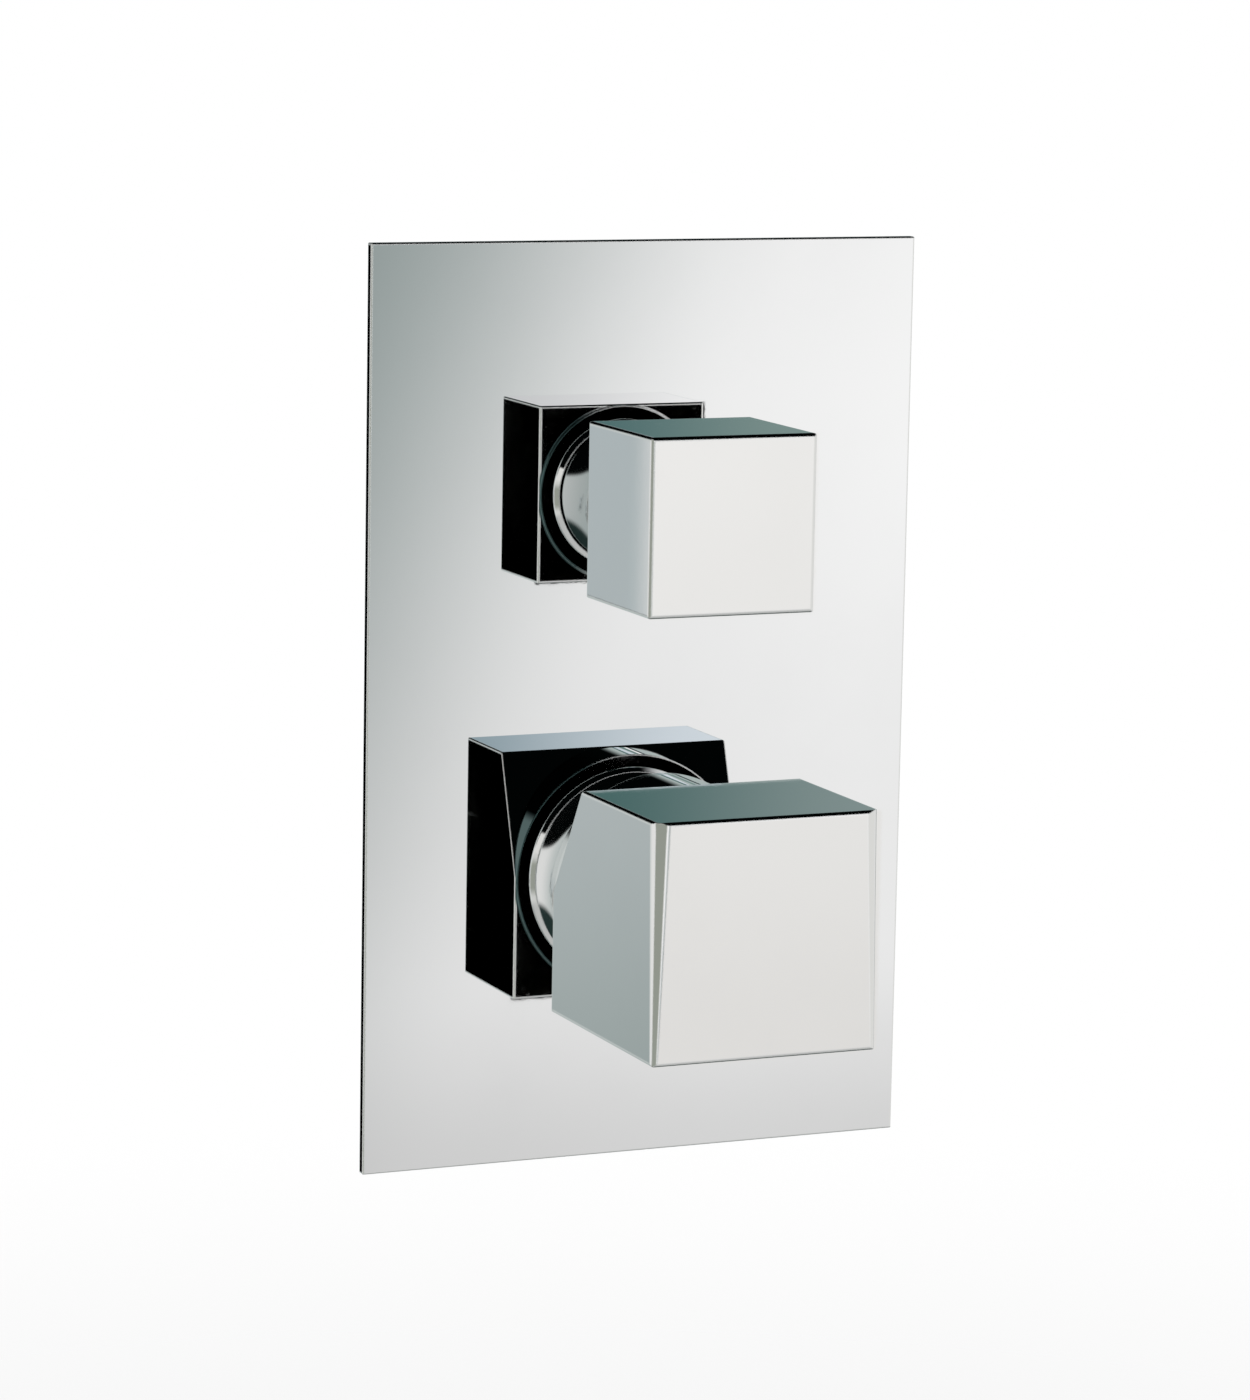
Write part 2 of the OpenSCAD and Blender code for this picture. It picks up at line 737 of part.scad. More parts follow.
module temperature_neck() {
  lean = temperature_knob_rake * temperature_flange_r / (temperature_knob_side / 2);
  color(CHROME) on_spindle(temperature_z) difference() {
    union() {
      intersection() {
        neck_body(temperature_neck_foot_r, temperature_neck_waist_r, temperature_flange_r, neck_rim,
                  temperature_neck_rear, temperature_flange_front, temperature_flange_front + lean,
                  temperature_neck_waist_r - neck_wall, temperature_neck_len - neck_web,
                  temperature_insert_r);
        behind_rake(knob_gap, temperature_knob_side);
      }
      rod(temperature_hub_r, temperature_flange_front - OVER, temperature_hub_front);
    }
    rod(temperature_insert_r + seat_fit, temperature_neck_rear, temperature_hub_front + lean);
    grub_hole(temperature_grub_r + seat_fit, temperature_insert_r - OVER, temperature_hub_r + OVER,
              temperature_grub_out);
  }
}

// Radial hole on the underside of a hub or knob
module grub_hole(r, from, to, out) {
  translate([0, -from, out]) rotate([90, 0, 0]) cylinder(r = r, h = to - from);
}

module knob_bores(side, back, hub_r, hub_front, pocket_r, front, grub_r, grub_out) {
  rod(hub_r + seat_fit, back - 2 * OVER, hub_front);
  rod(pocket_r, hub_front - OVER, front);
  grub_hole(grub_r + seat_fit, hub_r - OVER, side / 2 + OVER, grub_out);
}

module flow_knob() {
  color(CHROME) on_spindle(flow_z) difference() {
    soft_block(flow_knob_side, flow_knob_side, flow_knob_back, flow_knob_front, flow_knob_edge_r);
    knob_bores(flow_knob_side, flow_knob_back, flow_hub_r, flow_hub_front, flow_hub_r - pocket_step,
               flow_knob_front - knob_face, flow_grub_r, flow_grub_out);
  }
}

module temperature_knob() {
  side = temperature_knob_side;
  half = side / 2;
  back = temperature_knob_back;
  front = temperature_knob_front;
  outline = [[-half, back], [-half, front], [half, front], [half, back + temperature_knob_rake], [0, back]];
  color(CHROME) on_spindle(temperature_z) difference() {
    intersection() {
      side_prism(rounded(outline, temperature_knob_edge_r, 8), side + OVER);
      soft_block(side, side, back, front, temperature_knob_edge_r);
    }
    for (turn = [0, 1]) mirror([turn, 0, 0])
      translate([-half, -half, front]) rotate([-90, 0, 0])
        growing_edge(front_edge_low_r, front_edge_high_r, side);
    knob_bores(side, back, temperature_hub_r, temperature_hub_front, temperature_hub_r - pocket_step,
               front - knob_face, temperature_grub_r, temperature_grub_out);
  }
}

// Plastic bush with fine splines inside that seats an extension in a handle
module insert(outer, spline_root, front) {
  difference() {
    rod(outer, front - insert_len, front);
    translate([0, 0, front - insert_len - OVER])
      linear_extrude(insert_len + 2 * OVER)
        polygon(spline_outline(spline_root + seat_fit, spline_teeth, spline_depth));
  }
}

module flow_insert() {
  color(NYLON) on_spindle(flow_z) insert(flow_insert_r, flow_spline_r, flow_hub_front - insert_inset);
}

module temperature_insert() {
  color(NYLON) on_spindle(temperature_z)
    insert(temperature_insert_r, temperature_spline_r, temperature_hub_front - insert_inset);
}

// Headless screw with a hexagon socket, from the underside of the knob to the insert
module grub_screw(r, tip, head, out) {
  difference() {
    grub_hole(r, tip, head, out);
    translate([0, -head + grub_socket, out]) rotate([90, 0, 0])
      cylinder(r = r / 2, h = grub_socket + OVER, $fn = 6);
  }
}

module flow_grub_screw() {
  color(STEEL) on_spindle(flow_z)
    grub_screw(flow_grub_r, flow_insert_r + seat_fit, flow_knob_side / 2 - grub_recess, flow_grub_out);
}

module temperature_grub_screw() {
  color(STEEL) on_spindle(temperature_z)
    grub_screw(temperature_grub_r, temperature_insert_r + seat_fit,
               temperature_knob_side / 2 - grub_recess, temperature_grub_out);
}

/* Flow cartridge */

// Depths of the cartridge, from its seat outwards
fixed_disc_back = flow_seat + seat_seal_t;
fixed_disc_front = fixed_disc_back + disc_t;
turning_disc_back = fixed_disc_front + TINY;
turning_disc_front = turning_disc_back + disc_t;
spindle_flange_back = turning_disc_front + TINY;
spindle_flange_front = spindle_flange_back + spindle_flange_t;
thread_end = body_front - flow_mouth_depth + seal_groove;
headwork_flange_front = body_front + headwork_hex_t;
headwork_nose_front = headwork_flange_front + headwork_nose_len;
flow_clip_out = headwork_nose_front + play;
flow_spline_from = flow_clip_out + clip_t + clip_room;
flow_spline_to = flow_spline_from + tip_spline_len;
flow_tip_root = flow_spindle_r - spline_depth - tip_step;
flow_seal_outs = [body_front - 2, body_front + 3];
window_from = turning_disc_back - 1;
window_to = spindle_flange_front + 3;

// Radii of the cartridge
cage_r = flow_bore_r - seat_fit;
disc_r = cage_r - cage_wall - play;
seat_way_r = flow_bore_r - seat_ledge;

module flow_headwork() {
  color(BRASS) on_spindle(flow_z) difference() {
    union() {
      rod(cage_r, fixed_disc_back - cage_skirt, body_front);
      rod(flow_mouth_r - seat_fit, thread_end, body_front);
      hex_rod(headwork_hex, body_front, headwork_flange_front);
      rod(headwork_nose_r, body_front, headwork_nose_front);
    }
    rod(cage_r - cage_wall, fixed_disc_back - OVER, spindle_flange_front + play);
    rod(flow_spindle_r + run_fit, fixed_disc_back, headwork_nose_front + OVER);
    for (turn = [0, 180]) rotate([0, 0, turn])
      translate([0, -cage_window_w / 2, window_from])
        cube([flow_bore_r * 2, cage_window_w, window_to - window_from]);
    translate([0, 0, headwork_nose_front - stop_len]) linear_extrude(stop_len + OVER)
      ring_sector(headwork_nose_r + OVER, flow_spindle_r, -stop_tab / 2, flow_turn + stop_tab / 2);
  }
}

module flow_headwork_seal() {
  section = (seal_groove - play) / 2;
  color(RUBBER) on_spindle(flow_z)
    ring_seal(cage_r + section + TINY, section, thread_end - section - TINY);
}

// Two curved water ways, shared by the ceramic discs and the spindle's flange
module disc_ways() {
  for (turn = [0, 180]) rotate([0, 0, turn])
    ring_sector(disc_r - disc_rim, disc_core_r, -way_half, way_half);
}

module flow_disc_fixed() {
  color(CERAMIC) on_spindle(flow_z) translate([0, 0, fixed_disc_back]) linear_extrude(disc_t) difference() {
    circle(r = disc_r);
    disc_ways();
  }
}

// The spindle's two lugs, or their slots in the turning disc when gap is given
module drive_lugs(gap) {
  for (turn = [0, 180]) rotate([0, 0, turn])
    translate([disc_r - drive_lug_rim - drive_lug_len - gap, -drive_lug_w / 2 - gap])
      square([drive_lug_len + 2 * gap, drive_lug_w + 2 * gap]);
}

module flow_disc_turning() {
  color(CERAMIC) on_spindle(flow_z) difference() {
    translate([0, 0, turning_disc_back]) linear_extrude(disc_t) difference() {
      circle(r = disc_r);
      rotate([0, 0, 90]) disc_ways();
    }
    translate([0, 0, turning_disc_front - drive_lug_t - play]) linear_extrude(drive_lug_t + OVER)
      drive_lugs(play);
  }
}

module flow_seat_seal() {
  color(RUBBER) on_spindle(flow_z) tube(disc_r, seat_way_r, flow_seat + TINY, fixed_disc_back - TINY);
}

// Grooves cut into a spindle for its ring seals
module seal_grooves(spindle_r, outs) {
  for (out = outs)
    tube(spindle_r + OVER, spindle_r - 2 * spindle_seal_r - seat_fit,
         out - spindle_seal_r - seat_fit, out + spindle_seal_r + seat_fit);
}

module flow_spindle() {
  color(BRASS) on_spindle(flow_z) difference() {
    union() {
      rod(flow_spindle_r, spindle_flange_back, flow_spline_from);
      translate([0, 0, spindle_flange_back]) linear_extrude(spindle_flange_t) difference() {
        circle(r = disc_r - play);
        rotate([0, 0, 90]) disc_ways();
      }
      translate([0, 0, turning_disc_front - drive_lug_t]) linear_extrude(drive_lug_t + OVER) drive_lugs(0);
      spline(flow_tip_root, flow_spline_from - OVER, flow_spline_to);
      translate([0, 0, headwork_nose_front - stop_len + play]) linear_extrude(stop_len - 2 * play)
        ring_sector(headwork_nose_r - tab_clear, flow_spindle_r - tab_clear,
                    -stop_tab / 2 + tab_clear, stop_tab / 2 - tab_clear);
    }
    tube(flow_spindle_r + OVER, flow_spindle_r - clip_groove, flow_clip_out, flow_clip_out + clip_t);
    seal_grooves(flow_spindle_r, flow_seal_outs);
  }
}

module flow_spindle_seals() {
  color(RUBBER) on_spindle(flow_z) for (out = flow_seal_outs)
    ring_seal(flow_spindle_r - spindle_seal_r, spindle_seal_r, out);
}

// Open spring ring in a spindle's groove
module circlip(spindle_r, out) {
  translate([0, 0, out + TINY]) linear_extrude(clip_t - 2 * TINY)
    ring_sector(spindle_r + clip_proud, spindle_r - clip_groove + TINY,
                clip_mouth / 2, 360 - clip_mouth / 2);
}

module flow_circlip() {
  color(STEEL) on_spindle(flow_z) circlip(flow_spindle_r, flow_clip_out);
}

// Rod that carries a spindle's turn out to its handle: a splined socket, a shank, a spline
module extension(socket_r, socket_from, tip_root, tip_end, rod_r, spline_root, to) {
  shank_end = to - insert_len - insert_inset - OVER;
  difference() {
    union() {
      rod(socket_r, socket_from, tip_end + socket_floor);
      rod(rod_r, tip_end + socket_floor - OVER, shank_end);
      spline(spline_root, shank_end - OVER, to);
    }
    translate([0, 0, socket_from - OVER]) linear_extrude(tip_end - socket_from + socket_room + OVER)
      polygon(spline_outline(tip_root + seat_fit, spline_teeth, spline_depth));
  }
}

module flow_extension() {
  color(BRASS) on_spindle(flow_z)
    extension(flow_socket_r, flow_spline_from + play, flow_tip_root, flow_spline_to,
              flow_rod_r, flow_spline_r, flow_hub_front);
}

/* Valve body */

module upright(x, out, r, from, to) {
  translate([x, -out, from]) cylinder(r = r, h = to - from);
}

module hex_end(x, out, from, to) {
  translate([x, -out, from]) rotate([0, 0, 30]) cylinder(d = pipe_hex / cos(30), h = to - from, $fn = 6);
}

// Ear with a round end, joined to the valve at height reach_z
module fixing_ear(side, z, reach_z) {
  from_axis = [side * lug_pitch_x / 2, z - reach_z];
  translate([spindle_x + from_axis.x, -body_back, z]) rotate([90, 0, 0]) cylinder(r = lug_r, h = lug_t);
  translate([spindle_x, -body_back, reach_z]) rotate([90, 0, 0])
    rotate([0, 0, atan2(from_axis.y, from_axis.x)])
      translate([0, -lug_r, 0]) cube([norm(from_axis), 2 * lug_r, lug_t]);
}

// Cross way at one depth, from the thermostat chamber out to an inlet on the given side
module port(side, out) {
  translate([spindle_x, -out, temperature_z]) rotate([0, side * 90, 0])
    cylinder(r = port_r, h = inlet_pitch / 2);
}

module valve_body() {
  inlets = [spindle_x - inlet_pitch / 2, spindle_x + inlet_pitch / 2];
  color(BRASS) difference() {
    union() {
      on_spindle(temperature_z) rod(thermostat_chamber_r, body_back, body_front);
      on_spindle(flow_z) rod(flow_chamber_r, body_back, body_front);
      upright(spindle_x, link_out, link_way_r + link_wall, temperature_z, flow_z);
      upright(spindle_x, outlet_out, inlet_tube_r, flow_z, outlet_z - OVER);
      hex_end(spindle_x, outlet_out, outlet_z - pipe_thread_depth, outlet_z);
      for (x = inlets) {
        upright(x, inlet_out, inlet_tube_r, -inlet_drop + OVER, inlet_top + inlet_cap);
        hex_end(x, inlet_out, -inlet_drop, inlet_thread_end);
      }
      for (side = [-1, 1]) {
        fixing_ear(side, flow_z, flow_z);
        fixing_ear(side, flow_z - lug_pitch_z, temperature_z);
      }
      translate([spindle_x - link_wall, -body_back - rib_depth, temperature_z])
        cube([2 * link_wall, rib_depth, spindle_pitch]);
    }
    on_spindle(temperature_z) {
      rod(thermostat_mouth_r, cage_seat, body_front + OVER);
      rod(thermostat_bore_r, chamber_end, body_front);
    }
    on_spindle(flow_z) {
      rod(flow_mouth_r, body_front - flow_mouth_depth, body_front + OVER);
      rod(flow_bore_r, flow_seat, body_front);
      rod(gallery_r, outlet_out - outlet_way_r, outlet_out + outlet_way_r);
      rod(seat_way_r, chamber_end, body_front);
    }
    upright(spindle_x, link_out, link_way_r, temperature_z, flow_z);
    upright(spindle_x, outlet_out, outlet_way_r, flow_z, outlet_z);
    upright(spindle_x, outlet_out, pipe_thread_r, outlet_z - pipe_thread_depth, outlet_z + OVER);
    for (x = inlets) {
      upright(x, inlet_out, pipe_thread_r, -inlet_drop - OVER, inlet_thread_end);
      upright(x, inlet_out, strainer_rim_r + seat_fit, -inlet_drop, strainer_seat);
      upright(x, inlet_out, inlet_bore_r, -inlet_drop, inlet_top);
    }
    port(-1, hot_out);
    port(1, cold_out);
    for (side = [-1, 1], z = [flow_z, flow_z - lug_pitch_z])
      translate([spindle_x + side * lug_pitch_x / 2, -body_back + OVER, z])
        rotate([90, 0, 0]) cylinder(r = lug_hole_r, h = lug_t + 2 * OVER);
  }
}

/* Thermostat cartridge */

// Depths of the thermostat, from the cage's seat inwards and outwards
cage_flange_front = cage_seat + cage_flange_t;
cold_seat = cage_seat - 5.6;
shuttle_front = cold_seat - cold_gap;
shuttle_back = shuttle_front - shuttle_len;
shuttle_web_front = shuttle_front - shuttle_recess;
shuttle_web_back = shuttle_web_front - shuttle_web_t;
hot_seat = shuttle_back - hot_gap;
cage_end = hot_seat - end_ring_t;
spring_ledge = cage_end + ledge_t;
guide_to = cage_seat + 9.5;
spindle_tail = cold_seat + 4.5;
pusher_floor = cold_seat + pusher_floor_t;
piston_tip = pusher_floor - 2.2;
head_front = body_front + head_len;
stop_ring_from = body_front + nut_flange_t + 3;
stop_from = stop_ring_from + stop_ring_t;
temperature_clip_out = head_front + play;
temperature_spline_from = temperature_clip_out + clip_t + clip_room;
temperature_spline_to = temperature_spline_from + tip_spline_len;
temperature_tip_root = temperature_spindle_r - spline_depth - tip_step;
temperature_seal_outs = [head_front - 3, head_front - 7];
cage_seal_outs = [cage_seat - 2, (cold_out + hot_out) / 2, cage_end + 1.6];

// Radii of the thermostat
shuttle_r = cage_bore_r - run_fit;
drive_thread_r = temperature_spindle_r - 0.5;

module thermostat_cage() {
  color(BRASS) on_spindle(temperature_z) difference() {
    union() {
      rod(thermostat_cage_r, cage_end, cage_seat);
      rod(thermostat_mouth_r - gland_gap, cage_seat, cage_flange_front);
      rod(head_r, cage_seat, head_front);
    }
    rod(cage_bore_r, cage_end, cold_seat);
    rod(end_ring_r + seat_fit, cage_end - OVER, hot_seat);
    rod(element_flange_r + spring_room, cold_seat - OVER, cold_seat + 1);
    hex_rod(pusher_hex + 2 * run_fit, cold_seat, guide_to);
    rod(spindle_collar_r + run_fit, guide_to - TINY, guide_to + spindle_collar_t);
    rod(temperature_spindle_r + run_fit, guide_to, head_front + OVER);
    for (turn = [0:60:300], out = [shuttle_front + cold_gap / 2, shuttle_back - hot_gap / 2])
      rotate([0, 0, turn]) translate([0, 0, out]) rotate([0, 90, 0])
        cylinder(r = cage_window_r, h = thermostat_cage_r + OVER);
    for (out = cage_seal_outs)
      tube(thermostat_cage_r + OVER, thermostat_bore_r - 2 * cage_seal_r - 2 * seat_fit,
           out - cage_seal_r - seat_fit, out + cage_seal_r + seat_fit);
    translate([0, 0, stop_ring_from]) difference() {
      rod(head_r + OVER, 0, head_front - stop_ring_from + OVER);
      cylinder(r = head_r, h = head_front - stop_ring_from + 2 * OVER, $fn = key_sides);
    }
  }
}

module thermostat_cage_seals() {
  color(RUBBER) on_spindle(temperature_z) for (out = cage_seal_outs)
    ring_seal(thermostat_bore_r - cage_seal_r - TINY, cage_seal_r, out);
}

module thermostat_end_ring() {
  color(BRASS) on_spindle(temperature_z) difference() {
    rod(end_ring_r, cage_end, hot_seat);
    rod(return_spring_r + return_wire / 2 + spring_room, spring_ledge, hot_seat + OVER);
    rod(end_way_r, cage_end - OVER, hot_seat);
    for (turn = [0:45:315]) rotate([0, 0, turn])
      translate([wrench_circle_r, 0, cage_end - OVER])
        cylinder(r = wrench_hole_r, h = end_ring_t + 2 * OVER, $fn = 24);
  }
}

module thermostat_gland_nut() {
  color(BRASS) on_spindle(temperature_z) difference() {
    union() {
      rod(thermostat_mouth_r - seat_fit, cage_flange_front, body_front);
      hex_rod(gland_hex, body_front, body_front + nut_flange_t);
    }
    rod(head_r + gland_gap, cage_flange_front - OVER, body_front + nut_flange_t + OVER);
  }
}

module temperature_spindle() {
  color(BRASS) on_spindle(temperature_z) difference() {
    union() {
      rod(drive_thread_r, spindle_tail, guide_to + OVER);
      rod(spindle_collar_r, guide_to + play, guide_to + spindle_collar_t - play);
      rod(temperature_spindle_r, guide_to + play, temperature_spline_from);
      spline(temperature_tip_root, temperature_spline_from - OVER, temperature_spline_to);
    }
    tube(temperature_spindle_r + OVER, temperature_spindle_r - clip_groove,
         temperature_clip_out, temperature_clip_out + clip_t);
    seal_grooves(temperature_spindle_r, temperature_seal_outs);
  }
}

module temperature_spindle_seals() {
  color(RUBBER) on_spindle(temperature_z) for (out = temperature_seal_outs)
    ring_seal(temperature_spindle_r - spindle_seal_r, spindle_seal_r, out);
}

module temperature_circlip() {
  color(STEEL) on_spindle(temperature_z) circlip(temperature_spindle_r, temperature_clip_out);
}

// Stop ring keyed on the cage's many-sided head; its raised sector limits the handle's turn
module temperature_stop_ring() {
  ring_r = temperature_sleeve_bore_r - stop_ring_gap;
  stop_start = -90 + hot_turn + stop_tab / 2;
  stop_sweep = 360 - cold_turn - hot_turn - stop_tab;
  color(NYLON) on_spindle(temperature_z) difference() {
    rod(ring_r, stop_ring_from, stop_from + stop_height);
    translate([0, 0, stop_ring_from - OVER])
      cylinder(r = head_r + seat_fit, h = stop_ring_t + 2 * OVER, $fn = key_sides);
    rod(head_r + stop_ring_gap, stop_from, stop_from + stop_height + OVER);
    translate([0, 0, stop_from]) linear_extrude(stop_height + OVER)
      ring_sector(ring_r + OVER, head_r - OVER, stop_start + stop_sweep, stop_start + 360);
  }
}

module temperature_extension() {
  tab_r = temperature_sleeve_bore_r - stop_ring_gap - tab_clear;
  tab_back = stop_from + tab_gap;
  color(BRASS) on_spindle(temperature_z) {
    extension(temperature_socket_r, temperature_spline_from + play, temperature_tip_root,
              temperature_spline_to, temperature_rod_r, temperature_spline_r, temperature_hub_front);
    tube(tab_r, temperature_socket_r - TINY, tab_back + stop_height, tab_back + stop_height + stop_web);
    translate([0, 0, tab_back]) linear_extrude(stop_height + OVER)
      ring_sector(tab_r, head_r + OVER, -90 - stop_tab / 2 + tab_clear, -90 + stop_tab / 2 - tab_clear);
  }
}

module thermostat_pusher() {
  color(BRASS) on_spindle(temperature_z) difference() {
    hex_rod(pusher_hex, piston_tip, guide_to - pusher_travel);
    rod(drive_thread_r + run_fit, pusher_floor, guide_to);
  }
}

// Wax element: bulb, body, flange on the shuttle's web, and the piston that meets the pusher
module thermostat_element() {
  bulb_end = cage_end - 3;
  shoulder = shuttle_web_front - 10;
  flange_front = shuttle_web_front + 1.6;
  color(COPPER) on_spindle(temperature_z) turned([
    [0, bulb_end], [bulb_r, bulb_end], [bulb_r, shoulder], [element_r, shoulder + 1.5],
    [element_r, shuttle_web_front + TINY], [element_flange_r, shuttle_web_front + TINY],
    [element_flange_r, flange_front], [2 * piston_r, flange_front + 1], [piston_r, flange_front + 1],
    [piston_r, piston_tip - TINY], [0, piston_tip - TINY]
  ]);
}

module thermostat_shuttle() {
  inner = shuttle_r - shuttle_wall;
  color(STEEL) on_spindle(temperature_z) difference() {
    turned([
      [inner, shuttle_back], [shuttle_r, shuttle_back], [shuttle_r, shuttle_front], [inner, shuttle_front],
      [inner, shuttle_web_front], [element_r + seat_fit, shuttle_web_front],
      [element_r + seat_fit, shuttle_web_back], [inner, shuttle_web_back]
    ]);
    for (turn = [0:60:300]) rotate([0, 0, turn])
      translate([web_circle_r, 0, shuttle_web_back - OVER])
        cylinder(r = web_hole_r, h = shuttle_web_t + 2 * OVER, $fn = 24);
  }
}

// Points of a coil's middle line, climbing at an even pitch
function coil_path(r, turns, from, to) =
  [for (i = [0:turns * coil_rings])
    let (a = 360 * i / coil_rings)
    [r * cos(a), r * sin(a), from + (to - from) * i / (turns * coil_rings)]];

// Least gap between two stretches of a coil that lie more than half a turn apart
function coil_gap(path, wire) =
  let (last = len(path) - 1)
  min([for (i = [0:last], j = [i + coil_rings / 2 + 1:1:last]) norm(path[i] - path[j])]) - wire;

// One unbroken tube along a coil
module coil(r, wire, turns, from, to) {
  path = coil_path(r, turns, from + wire / 2, to - wire / 2);
  last = len(path) - 1;
  points = [for (i = [0:last], k = [0:coil_sides - 1])
    let (a = 360 * i / coil_rings, b = 360 * k / coil_sides)
    path[i] + wire / 2 * [cos(b) * cos(a), cos(b) * sin(a), sin(b)]];
  walls = [for (i = [0:last - 1], k = [0:coil_sides - 1])
    let (p = i * coil_sides + k, q = i * coil_sides + (k + 1) % coil_sides)
    each [[p, q, p + coil_sides], [q, q + coil_sides, p + coil_sides]]];
  caps = [for (k = [1:coil_sides - 2])
    each [[0, k + 1, k], [last * coil_sides, last * coil_sides + k, last * coil_sides + k + 1]]];
  echo("least gap between the coils, in mm", coil_gap(path, wire));
  polyhedron(points, concat(walls, caps));
}

module thermostat_spring() {
  color(STEEL) on_spindle(temperature_z)
    coil(return_spring_r, return_wire, return_turns, spring_ledge + TINY, shuttle_web_back - TINY);
}

/* Check valves and strainers */

check_from = strainer_seat + strainer_len + play;
poppet_back = check_from + check_seat_t + TINY;
poppet_front = poppet_back + poppet_t;
spider_from = check_from + check_len - spider_t;

module at_inlet(side) {
  translate([spindle_x + side * inlet_pitch / 2, -inlet_out, 0]) children();
}

// Housing: a seat at the bottom, a thin wall, and a spider whose hub guides the stem
module check_housing(side) {
  outer = inlet_bore_r - seat_fit;
  inner = outer - check_wall;
  hub_r = check_spring_r + check_wire;
  color(NYLON) at_inlet(side) difference() {
    rod(outer, check_from, check_from + check_len);
    rod(check_way_r, check_from - OVER, spider_from);
    rod(inner, check_from + check_seat_t, spider_from);
    rod(stem_r + run_fit, spider_from - OVER, check_from + check_len + OVER);
    for (turn = [45:90:315]) rotate([0, 0, turn])
      translate([0, 0, spider_from - OVER]) linear_extrude(spider_t + 2 * OVER)
        ring_sector(inner, hub_r, -spider_window / 2, spider_window / 2);
  }
}

module check_poppet(side) {
  color(NYLON) at_inlet(side) {
    rod(poppet_r, poppet_back, poppet_front);
    rod(stem_r, poppet_front - TINY, check_from + check_len + OVER);
  }
}

module check_spring(side) {
  color(STEEL) at_inlet(side)
    coil(check_spring_r, check_wire, check_turns, poppet_front + TINY, spider_from - TINY);
}

module hot_check_housing() { check_housing(-1); }
module hot_check_poppet() { check_poppet(-1); }
module hot_check_spring() { check_spring(-1); }
module cold_check_housing() { check_housing(1); }
module cold_check_poppet() { check_poppet(1); }
module cold_check_spring() { check_spring(1); }

// Slotted basket whose rim lies in a recess above each inlet's thread
module inlet_strainers() {
  basket_r = inlet_bore_r - strainer_gap;
  color(STEEL) for (side = [-1, 1]) at_inlet(side) difference() {
    union() {
      rod(strainer_rim_r, inlet_thread_end + TINY, strainer_seat - TINY);
      rod(basket_r, inlet_thread_end + TINY, strainer_seat + strainer_len);
    }
    rod(basket_r - strainer_wall, inlet_thread_end - OVER, strainer_seat + strainer_len - strainer_wall);
    for (turn = [0:30:330]) rotate([0, 0, turn])
      translate([0, -strainer_slot_w / 2, strainer_seat + strainer_rim_t])
        cube([basket_r * 2, strainer_slot_w, strainer_len - 2 * strainer_rim_t]);
  }
}

wall_plate();
plate_seal();
flow_boss();
flow_boss_seal();
flow_collar();
flow_sleeve();
flow_knob();
flow_neck();
flow_insert();
flow_grub_screw();
flow_extension();
flow_headwork();
flow_headwork_seal();
flow_spindle();
flow_spindle_seals();
flow_circlip();
flow_disc_fixed();
flow_disc_turning();
flow_seat_seal();
temperature_boss();
temperature_boss_seal();
temperature_collar();
temperature_sleeve();
temperature_knob();
temperature_neck();
temperature_insert();
temperature_grub_screw();
temperature_extension();
temperature_stop_ring();
valve_body();
thermostat_cage();
thermostat_cage_seals();
thermostat_end_ring();
thermostat_gland_nut();
temperature_spindle();
temperature_spindle_seals();
temperature_circlip();
thermostat_pusher();
thermostat_element();
thermostat_shuttle();
thermostat_spring();
hot_check_housing();
hot_check_poppet();
hot_check_spring();
cold_check_housing();
cold_check_poppet();
cold_check_spring();
inlet_strainers();
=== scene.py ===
import json
import math

import bpy
from bpy.props import FloatProperty, FloatVectorProperty, IntProperty, PointerProperty
from mathutils import Matrix, Vector

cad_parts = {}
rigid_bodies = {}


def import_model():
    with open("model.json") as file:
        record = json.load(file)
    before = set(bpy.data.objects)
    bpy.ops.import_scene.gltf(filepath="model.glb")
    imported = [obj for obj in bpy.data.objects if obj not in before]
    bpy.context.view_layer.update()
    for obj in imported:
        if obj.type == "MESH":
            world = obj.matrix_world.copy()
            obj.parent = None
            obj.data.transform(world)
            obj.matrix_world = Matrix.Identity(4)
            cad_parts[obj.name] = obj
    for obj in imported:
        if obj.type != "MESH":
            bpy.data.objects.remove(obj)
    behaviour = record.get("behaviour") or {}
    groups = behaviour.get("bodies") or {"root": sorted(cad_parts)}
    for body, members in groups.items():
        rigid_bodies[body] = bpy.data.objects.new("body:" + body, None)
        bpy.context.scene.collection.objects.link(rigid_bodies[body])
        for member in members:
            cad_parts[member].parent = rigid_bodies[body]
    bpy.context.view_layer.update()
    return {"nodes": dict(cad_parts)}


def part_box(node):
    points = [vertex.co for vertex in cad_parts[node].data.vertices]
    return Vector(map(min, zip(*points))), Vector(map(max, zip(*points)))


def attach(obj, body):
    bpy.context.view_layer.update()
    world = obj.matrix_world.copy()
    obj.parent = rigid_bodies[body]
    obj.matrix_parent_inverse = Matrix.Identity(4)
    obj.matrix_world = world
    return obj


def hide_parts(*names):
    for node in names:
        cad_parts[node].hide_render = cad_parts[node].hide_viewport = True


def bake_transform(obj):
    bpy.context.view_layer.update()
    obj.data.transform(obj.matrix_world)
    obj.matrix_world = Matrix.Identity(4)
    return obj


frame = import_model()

bl_info = {
    "name": "Concealed shower mixer",
    "version": (1, 0, 0),
    "blender": (4, 5, 0),
    "location": "3D View > Sidebar > Mixer",
    "description": "Finishes, springs, pipe threads and studio of a concealed shower mixer",
    "category": "Object",
}

NODE_SLOT = {name: piece.material_slots[0].material.name for name, piece in frame["nodes"].items()}

